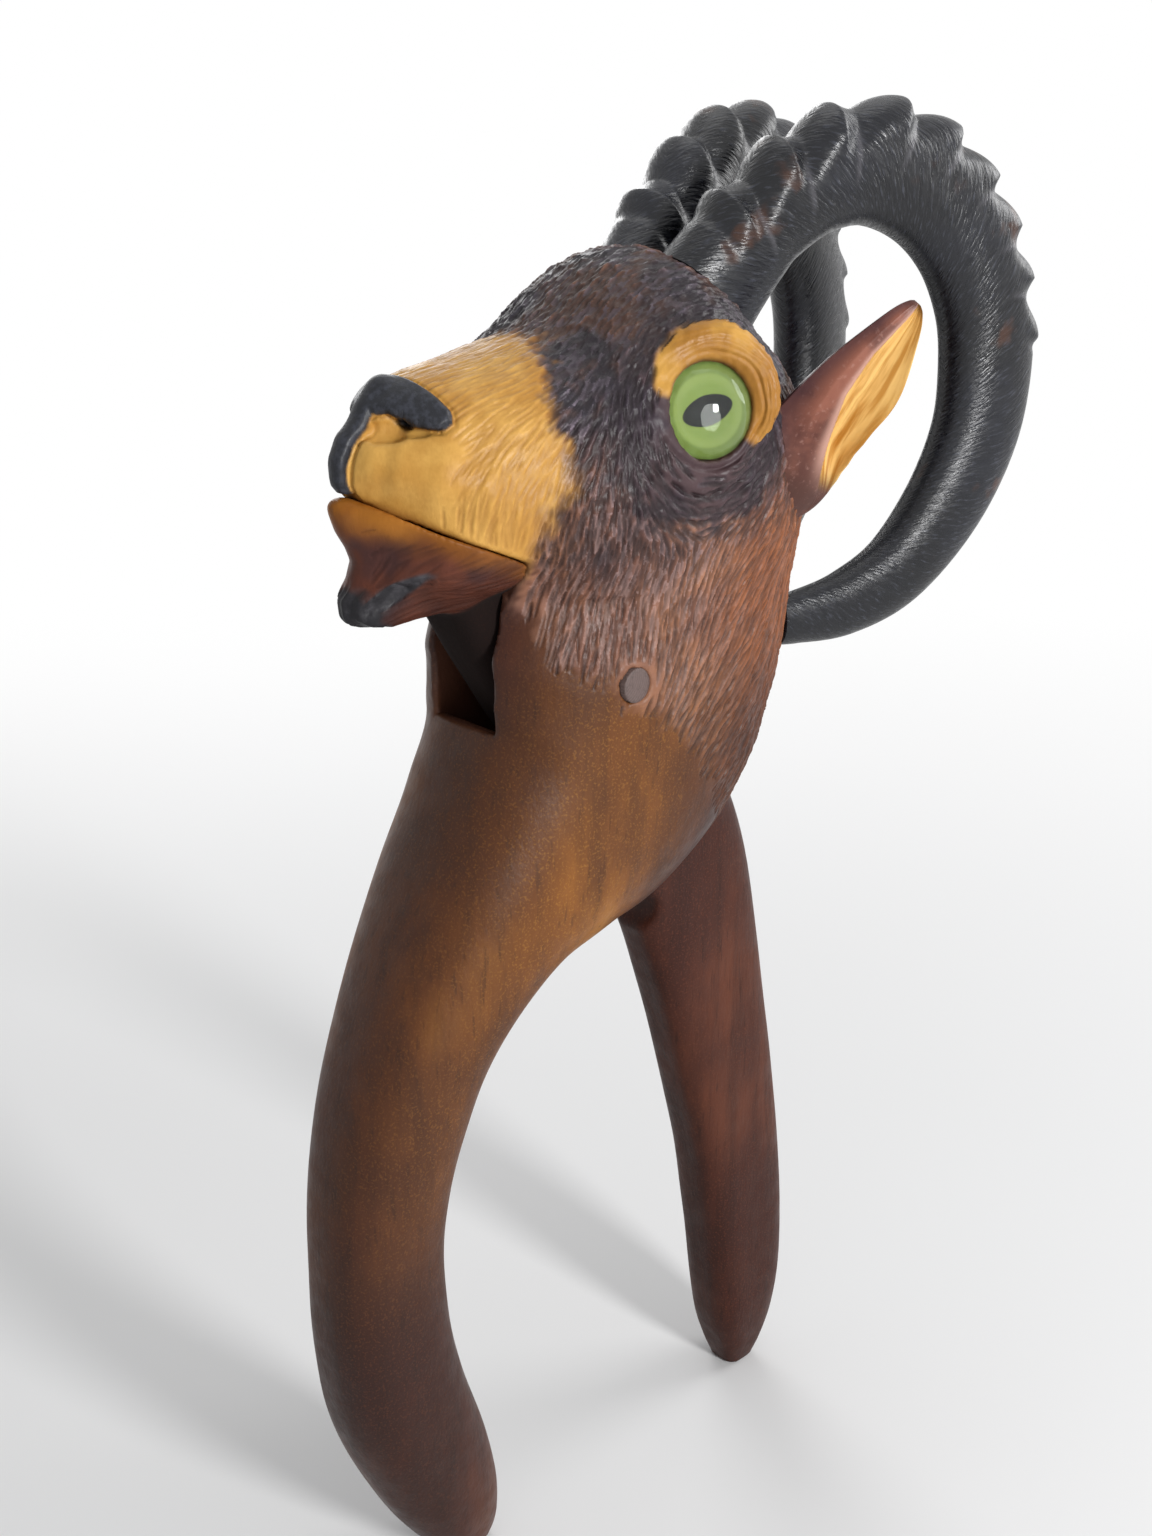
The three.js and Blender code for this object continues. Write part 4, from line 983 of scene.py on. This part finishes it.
class Nodes:
    """Short calls for the nodes of a material or a world. A colour may be a hex text or linear light."""

    def __init__(self, owner):
        owner.use_nodes = True
        self.owner, self.tree = owner, owner.node_tree

    def put(self, socket, value):
        if isinstance(value, str):
            value = rgb(value)
        if isinstance(value, bpy.types.NodeSocket):
            self.tree.links.new(value, socket)
        elif isinstance(value, tuple) and socket.type == "RGBA":
            socket.default_value = (*value, 1)
        else:
            socket.default_value = value

    def fill(self, node, inputs):
        for key, value in inputs.items():
            self.put(node.inputs[key], value)
        return node.outputs

    def node(self, kind, inputs, **settings):
        """A new node. Its inputs are given by name or number, as values or as other nodes' outputs."""
        made = self.tree.nodes.new("ShaderNode" + kind)
        for name, value in settings.items():
            setattr(made, name, value)
        return self.fill(made, inputs)

    def value(self, name):
        return self.node("Attribute", {}, attribute_name=name)["Fac"]

    def places(self):
        """The object's own coordinates, in metres."""
        return self.node("TexCoord", {})["Object"]

    def axes(self):
        parts = self.node("SeparateXYZ", {"Vector": self.places()})
        return parts["X"], parts["Y"], parts["Z"]

    def noise(self, scale, stretch=(1, 1, 1), detail=4.0, rough=0.55, turn=(0, 0, 0), distortion=0.0):
        place = self.node("Mapping", {"Vector": self.places(), "Scale": stretch, "Rotation": turn})["Vector"]
        return self.node("TexNoise", {"Vector": place, "Scale": scale, "Detail": detail, "Roughness": rough,
                                      "Distortion": distortion})["Fac"]

    def flow(self, u, v, scale, stretch, turn):
        """Noise over two of the mesh's own values, stretched along a direction between them."""
        place = self.node("CombineXYZ", {"X": self.value(u), "Y": self.value(v)})["Vector"]
        place = self.node("Mapping", {"Vector": place, "Rotation": (0, 0, turn)})["Vector"]
        place = self.node("Mapping", {"Vector": place, "Scale": (stretch, 1, 1)})["Vector"]
        return self.node("TexNoise", {"Vector": place, "Scale": scale, "Detail": 3})["Fac"]

    def ramp(self, fac, low, high, a=0.0, b=1.0):
        inputs = {"Value": fac, "From Min": low, "From Max": high, "To Min": a, "To Max": b}
        return self.node("MapRange", inputs, interpolation_type="SMOOTHSTEP")["Result"]

    def math(self, kind, a, b=0.0):
        return self.node("Math", {0: a, 1: b}, operation=kind)["Value"]

    def plus(self, a, b):
        return self.math("ADD", a, b)

    def times(self, a, b):
        return self.math("MULTIPLY", a, b)

    def mix(self, fac, a, b):
        return self.node("Mix", {"Factor": fac, "A": a, "B": b}, data_type="RGBA", blend_type="MIX")["Result"]

    def over(self, color, tint, fac, low=None, high=None, most=1.0):
        """Lays a tint over a colour by a value, or where the value goes from low to high, up to a share."""
        if low is not None:
            fac = self.ramp(fac, low, high, 0.0, most)
        elif most != 1.0:
            fac = self.times(fac, most)
        return self.mix(fac, color, tint)

    def bump(self, height, strength, distance, below=None):
        inputs = {"Height": height, "Strength": strength, "Distance": distance}
        if below is not None:
            inputs["Normal"] = below
        return self.node("Bump", inputs)["Normal"]

    def done(self, color, rough, normal=None, gloss=0.5, **more):
        inputs = {"Base Color": color, "Roughness": rough, "Specular IOR Level": gloss, **more}
        if normal is not None:
            inputs["Normal"] = normal
        self.fill(self.tree.nodes["Principled BSDF"], inputs)
        return self.owner

    def backdrop_rays(self):
        """1 for rays that see the white background: from the camera, and off or through gloss, metal and
        glass. Rays that come from a dull surface carry light to it and see the plain studio instead."""
        rays = self.node("LightPath", {})
        seen = self.math("MAXIMUM", rays["Is Camera Ray"], rays["Is Glossy Ray"])
        seen = self.math("MAXIMUM", seen, rays["Is Transmission Ray"])
        return self.times(seen, self.math("LESS_THAN", rays["Diffuse Depth"], 0.5))


def material(name):
    return Nodes(bpy.data.materials.new(name))


def wood_base(n, dark, mid, light):
    """Stained wood: cloudy stain, long grain and fine pores. Gives its colour, grain and cloud."""
    cloud = n.noise(38, (1, 1, 0.55), 3, 0.6, (0.2, 0.5, 0))
    grain = n.noise(260, (1, 1, 0.06), 3, 0.6, (0.1, 0.5, 0), 0.3)
    pores = n.noise(900, (1, 1, 0.12), 2, 0.7, (0.1, 0.5, 0))
    color = n.mix(n.ramp(cloud, 0.38, 0.66), dark, mid)
    color = n.over(color, light, cloud, 0.52, 0.78, 0.8)
    color = n.over(color, n.mix(0.5, dark, (0.01, 0.005, 0.004)), grain, 0.42, 0.7, 0.5)
    color = n.over(color, n.mix(0.6, dark, (0.008, 0.004, 0.003)), pores, 0.56, 0.72, 0.5)
    color = n.over(color, light, n.noise(2600, detail=1, rough=0.5), 0.52, 0.72, 0.4)
    return color, grain, cloud


def carved_wood():
    n = material("carved_wood")
    x, _, z = n.axes()
    # A light glow runs down the neck's side from the plug; the legs and the neck's front are darker.
    from_line = n.math("ABSOLUTE", n.plus(n.plus(x, n.times(z, -0.46)), 0.045))
    glow = n.ramp(n.math("SUBTRACT", 1.0, n.times(from_line, 38.0)), -0.1, 0.75)
    clouds = n.ramp(n.noise(45, (1, 1, 0.6), 3, 0.6), 0.25, 0.6, 0.35)
    glow = n.times(n.times(glow, n.ramp(z, 0.05, 0.125)), clouds)
    pairs = ("311811", "683c17"), ("452216", "86521e"), ("56301c", "a06e2d")
    tints = [n.mix(glow, *pair) for pair in pairs]
    base, grain, cloud = wood_base(n, *tints)
    # The fur's stain: purplish black with worn brown patches, brown further down, orange at the back.
    patch, wide, tone = n.noise(75, detail=3, rough=0.6), n.noise(32, detail=3, rough=0.6), n.value("tone")
    worn = n.plus(patch, n.ramp(z, 0.208, 0.222, 0.0, 0.05))
    dark = n.over("2d2933", "7d5847", worn, 0.45, 0.60)
    dark = n.over(dark, "958896", tone, 0.40, 1.0, 0.6)
    brown = n.over("744c3b", "9c6a4d", patch, 0.4, 0.66)
    brown = n.over(brown, "b8958b", tone, 0.3, 1.0, 0.55)
    brown = n.over(brown, "3b2c30", n.noise(60, (1, 1, 0.5), 3, 0.6), 0.56, 0.72, 0.6)
    brown = n.over(brown, "95552c", n.times(n.ramp(x, 0.030, 0.052), n.ramp(cloud, 0.35, 0.6, 0.2, 0.75)))
    fur = n.over(brown, dark, n.plus(z, n.times(wide, 0.05)), 0.209, 0.231)
    fur = n.over(fur, base, z, 0.175, 0.145, 0.75)
    color = n.over(base, fur, n.value("fur"))
    # The painted muzzle, lids, brow, eye rim and nose pad over it, then painted shade in the strokes' grooves
    # and in the nostril hole, and the cut rooms' colour.
    ochre = n.over("c08c40", "dcaa58", n.noise(120, rough=0.6), 0.35, 0.7)
    ochre = n.over(ochre, "b47a2e", n.noise(45, detail=2, rough=0.5), 0.5, 0.75, 0.5)
    muzzle = n.value("muzzle")
    lid, brow = n.mix(patch, "1d1821", "40333c"), n.over("a3702c", "c79545", patch, 0.4, 0.65)
    # Painted shade: the carved strokes' grooves are painted darker by their depth, near black in the fur and
    # a deeper ochre on the muzzle.
    shaded_cut_tint, pad = n.mix(muzzle, "1c1517", "84531f"), n.over("24252a", "3a3c44", n.noise(900), 0.4, 0.7)
    layers = (("muzzle", ochre, 1.0), ("lid", lid, 0.88), ("brow", brow, 1.0), ("rim", "3a2614", 0.7),
              ("groove_shade", shaded_cut_tint, 0.75), ("nostril_shade", "2c1708", 0.9), ("pad", pad, 1.0), ("inner", "5c3a2c", 1.0))
    for name, tint, most in layers:
        color = n.over(color, tint, n.value(name), most=most)
    normal = n.bump(n.times(grain, n.math("SUBTRACT", 1.0, muzzle)), 0.2, 0.0003)
    normal = n.bump(n.noise(1400, (1, 1, 0.6), 2), 0.22, 0.0003, normal)
    return n.done(color, n.ramp(n.noise(300), 0.3, 0.7, 0.38, 0.52), normal, gloss=0.25)


def lever_wood():
    n = material("lever_wood")
    base, grain, _ = wood_base(n, "381c15", "4c281c", "613523")
    jaw, lip = n.value("jaw"), n.value("lip")
    # Painted shade: the tongue is painted near black and dull where it lies inside the slot.
    slot_shade = n.times(n.ramp(n.axes()[2], 0.138, 0.146), n.ramp(jaw, 0.8, 0.2))
    base = n.over(base, "15100f", slot_shade, most=0.92)
    color = n.over(base, n.over("46271e", "6a3b2c", n.noise(60, (1, 1, 0.4), 3), 0.4, 0.65), jaw)
    color = n.over(color, n.over("86501a", "ab6d29", n.noise(90, detail=3), 0.4, 0.65), lip)
    spots = n.times(n.ramp(n.noise(110, detail=2), 0.52, 0.66), jaw)
    color = n.over(color, "33262a", n.times(spots, n.math("SUBTRACT", 0.55, n.times(lip, 0.55))))
    # Painted shade in the grooves of the jaw's carved lines.
    color = n.over(color, "2a1714", n.value("groove_shade"), most=0.6)
    color = n.over(color, n.over("28272a", "4a484c", n.noise(300), 0.45, 0.7), n.value("beard"))
    rough = n.math("MAXIMUM", n.ramp(n.noise(280), 0.3, 0.7, 0.38, 0.52), slot_shade)
    normal = n.bump(n.noise(1300, (1, 1, 0.3), 2), 0.22, 0.0003, n.bump(grain, 0.15, 0.0003))
    return n.done(color, rough, normal, gloss=0.15)


def horn_black():
    n = material("horn_black")
    color = n.over("07080e", "11131c", n.noise(50, detail=3), 0.4, 0.7)
    color = n.over(color, "46291a", n.noise(95, detail=3, rough=0.6), 0.60, 0.72, 0.7)
    # Painted highlight: pale glints along the thin rim at each knob's border.
    color = n.over(color, "6a686e", n.value("ridge"), most=0.4)
    scratch = n.flow("run", "round", 2200, 0.2, math.radians(50))
    streak = n.flow("run", "round", 900, 0.3, math.radians(58))
    color = n.over(color, "50535f", scratch, 0.54, 0.74, 0.4)
    normal = n.bump(scratch, 0.45, 0.0004, n.bump(streak, 0.35, 0.0004))
    return n.done(color, n.ramp(streak, 0.3, 0.7, 0.24, 0.38), normal, gloss=0.42)


def ear_wood():
    n = material("ear_wood")
    grain = n.flow("run", "cross", 900, 0.09, 0.0)
    outside = n.over("5c332a", "925a48", n.noise(110), 0.4, 0.65)
    outside = n.over(outside, "b08478", n.noise(1200), 0.55, 0.75, 0.4)
    outside = n.over(outside, "3a2027", n.value("cross"), 0.0048, 0.0072, 0.75)
    color = n.over(outside, n.over("b98235", "e6bb70", grain, 0.35, 0.6), n.value("hollow"))
    # Painted highlight: a pale pink line along the ear's ridge.
    color = n.over(color, "cd9f8e", n.value("line"), most=0.8)
    color = n.over(color, "4a2a1c", n.value("along"), 0.95, 1.0, 0.6)
    color = n.over(color, "3d2218", n.value("along"), 0.30, 0.10, 0.6)
    return n.done(color, n.ramp(n.noise(300), 0.3, 0.7, 0.36, 0.5), n.bump(grain, 0.3, 0.0004),
                  gloss=0.3)


def eye_glass():
    n = material("eye_glass")
    smudge = n.ramp(n.noise(240, detail=2), 0.4, 0.7, 0.0, 0.02)
    return n.done((0.97, 1.0, 0.97), smudge, **{"Transmission Weight": 1.0, "IOR": 1.35})


def eye_iris():
    n = material("eye_iris")
    back, up = n.value("eye_back"), n.value("eye_up")
    away = n.math("SQRT", n.plus(n.times(back, back), n.times(up, up)))
    # The pupil is a pointed oval that leans up to the back.
    lean = math.radians(16)
    u = n.plus(n.times(back, math.cos(lean)), n.times(up, math.sin(lean)))
    v = n.math("SUBTRACT", n.times(up, math.cos(lean)), n.times(back, math.sin(lean)))
    pupil = n.plus(n.math("POWER", n.math("ABSOLUTE", n.math("DIVIDE", u, 3.6)), 1.7),
                   n.math("POWER", n.math("ABSOLUTE", n.math("DIVIDE", v, 1.95)), 1.9))
    green = n.over("8ea24e", "a0b260", away, 3.0, 4.4)
    green = n.over(green, "83974a", away, 4.6, 5.2)
    green = n.over(green, "667637", away, 6.0, 6.9)
    green = n.over(green, "a3b878", n.noise(700, detail=3), 0.4, 0.7, 0.2)
    return n.done(n.over("06090c", green, pupil, 0.94, 1.06), 0.5, gloss=0.1)


def plug_wood():
    n = material("plug_wood")
    x, _, z = n.axes()
    # Year rings round a point a little to the front of the plug's middle and above it.
    middle = PIVOT[0] / 1000 - 0.004, PIVOT[2] / 1000 + 0.002
    squares = [n.math("POWER", n.math("SUBTRACT", v, at), 2.0) for v, at in zip((x, z), middle)]
    bands = n.math("SINE", n.times(n.math("SQRT", n.plus(*squares)), 14000.0))
    color = n.over("574642", "6f5d59", bands, -1, 1, 0.4)
    color = n.over(color, "3a2e28", n.noise(1500), 0.5, 0.7, 0.6)
    return n.done(color, 0.6, n.bump(bands, 0.15, 0.0002))


def dowel_wood():
    n = material("dowel_wood")
    grain = n.noise(600, (1, 0.15, 1), 3, 0.6)
    color = n.over("a07a4c", "c9a06a", grain, 0.35, 0.7)
    return n.done(color, n.ramp(grain, 0.3, 0.7, 0.5, 0.7), n.bump(grain, 0.3, 0.0003))


def pin_steel():
    n = material("pin_steel")
    scratch = n.noise(900, (1, 0.05, 1), 3)
    color = n.mix(scratch, (0.45, 0.45, 0.47), (0.62, 0.62, 0.64))
    return n.done(color, n.ramp(scratch, 0.3, 0.7, 0.25, 0.42), Metallic=1.0)


def build_floor():
    """A pale floor that turns to white away from the object, so that no edge of it shows. In metres."""
    middle, sides, radii = 0.04, 64, 0.25 * 1.22 ** np.arange(30)
    _, c, s = circle(sides)
    points = [(middle, 0, 0)] + [(r * c[i] + middle, r * s[i], 0) for r in radii for i in range(sides)]
    pairs = [(i, (i + 1) % sides) for i in range(sides)]
    faces = [(0, 1 + i, 1 + j) for i, j in pairs]
    for first in 1 + sides * np.arange(len(radii) - 1):
        faces += [(first + i, first + sides + i, first + sides + j, first + j) for i, j in pairs]
    mesh = bpy.data.meshes.new("studio_floor")
    mesh.from_pydata(points, [], faces)
    floor = linked("studio_floor", mesh)
    n = material("floor_paint")
    n.done(n.mix(n.noise(3, detail=2), (0.80, 0.80, 0.80), (0.84, 0.84, 0.845)), 0.6, gloss=0.1)
    away = n.node("VectorMath", {0: n.places()}, operation="LENGTH")["Value"]
    paint = n.tree.nodes["Principled BSDF"].outputs["BSDF"]
    white = n.node("Emission", {})["Emission"]
    share = n.times(n.ramp(away, 0.12, 0.75), n.backdrop_rays())
    both = n.node("MixShader", {"Fac": share, 1: paint, 2: white})["Shader"]
    n.put(n.tree.nodes["Material Output"].inputs["Surface"], both)
    floor.data.materials.append(n.owner)


def build_light(name, place, target, size, power):
    lamp = bpy.data.lights.new(name, "AREA")
    lamp.shape = "ELLIPSE"
    lamp.size, lamp.size_y = size
    lamp.energy = power
    thing = linked(name, lamp)
    thing.location = place
    thing.rotation_mode = "QUATERNION"
    thing.rotation_quaternion = (Vector(target) - Vector(place)).to_track_quat("-Z", "Y")


def build_world():
    n = Nodes(bpy.data.worlds.new("studio"))
    light = n.fill(n.tree.nodes["Background"], {"Color": (0.93, 0.94, 0.95), "Strength": 0.30})["Background"]
    white = n.node("Background", {"Color": (1, 1, 1)})["Background"]
    both = n.node("MixShader", {"Fac": n.backdrop_rays(), 1: light, 2: white})["Shader"]
    n.put(n.tree.nodes["World Output"].inputs["Surface"], both)
    bpy.context.scene.world = n.owner


def build_camera():
    data = bpy.data.cameras.new("camera")
    data.lens, data.sensor_width = 38.67, 36
    data.clip_start, data.clip_end = 0.01, 20
    camera = linked("camera", data)
    camera.location = (-0.1464, -0.1890, 0.2380)
    camera.rotation_euler = (math.radians(70), 0, math.radians(-43))
    bpy.context.scene.camera = camera


plug_height = build_body(carved_wood()) - PLUG_SINK
build_lever(lever_wood())
horn_paint, ear_stain, plug_stain = horn_black(), ear_wood(), plug_wood()
glass, iris = eye_glass(), eye_iris()
for side_name, way in (("left", -1), ("right", 1)):
    build_horn(side_name, way, horn_paint)
    build_ear(side_name, way, ear_stain)
    build_eye(side_name, way, glass, iris)
    build_plug(side_name, way, plug_height, plug_stain)
dowel, steel = dowel_wood(), pin_steel()
for node_name, node in frame["nodes"].items():
    if node_name == "pivot_pin" or "dowel" in node_name or "peg" in node_name:
        node.data.materials.clear()
        node.data.materials.append(steel if node_name == "pivot_pin" else dowel)

build_floor()
build_light("key", (0.015, -0.640, 0.325), (0.03, 0, 0.16), (0.13, 0.17), 3.6)
build_light("side", (0.85, -0.25, 0.50), (0.03, 0, 0.15), (0.5, 0.5), 3.0)
build_light("top", (0.15, 0.05, 0.90), (0.02, 0, 0.18), (0.5, 0.5), 0.9)
build_light("back", (0.45, 0.75, 0.45), (0.03, 0, 0.16), (0.6, 0.6), 3.0)
build_world()
build_camera()
bpy.context.scene.view_settings.view_transform = "Standard"
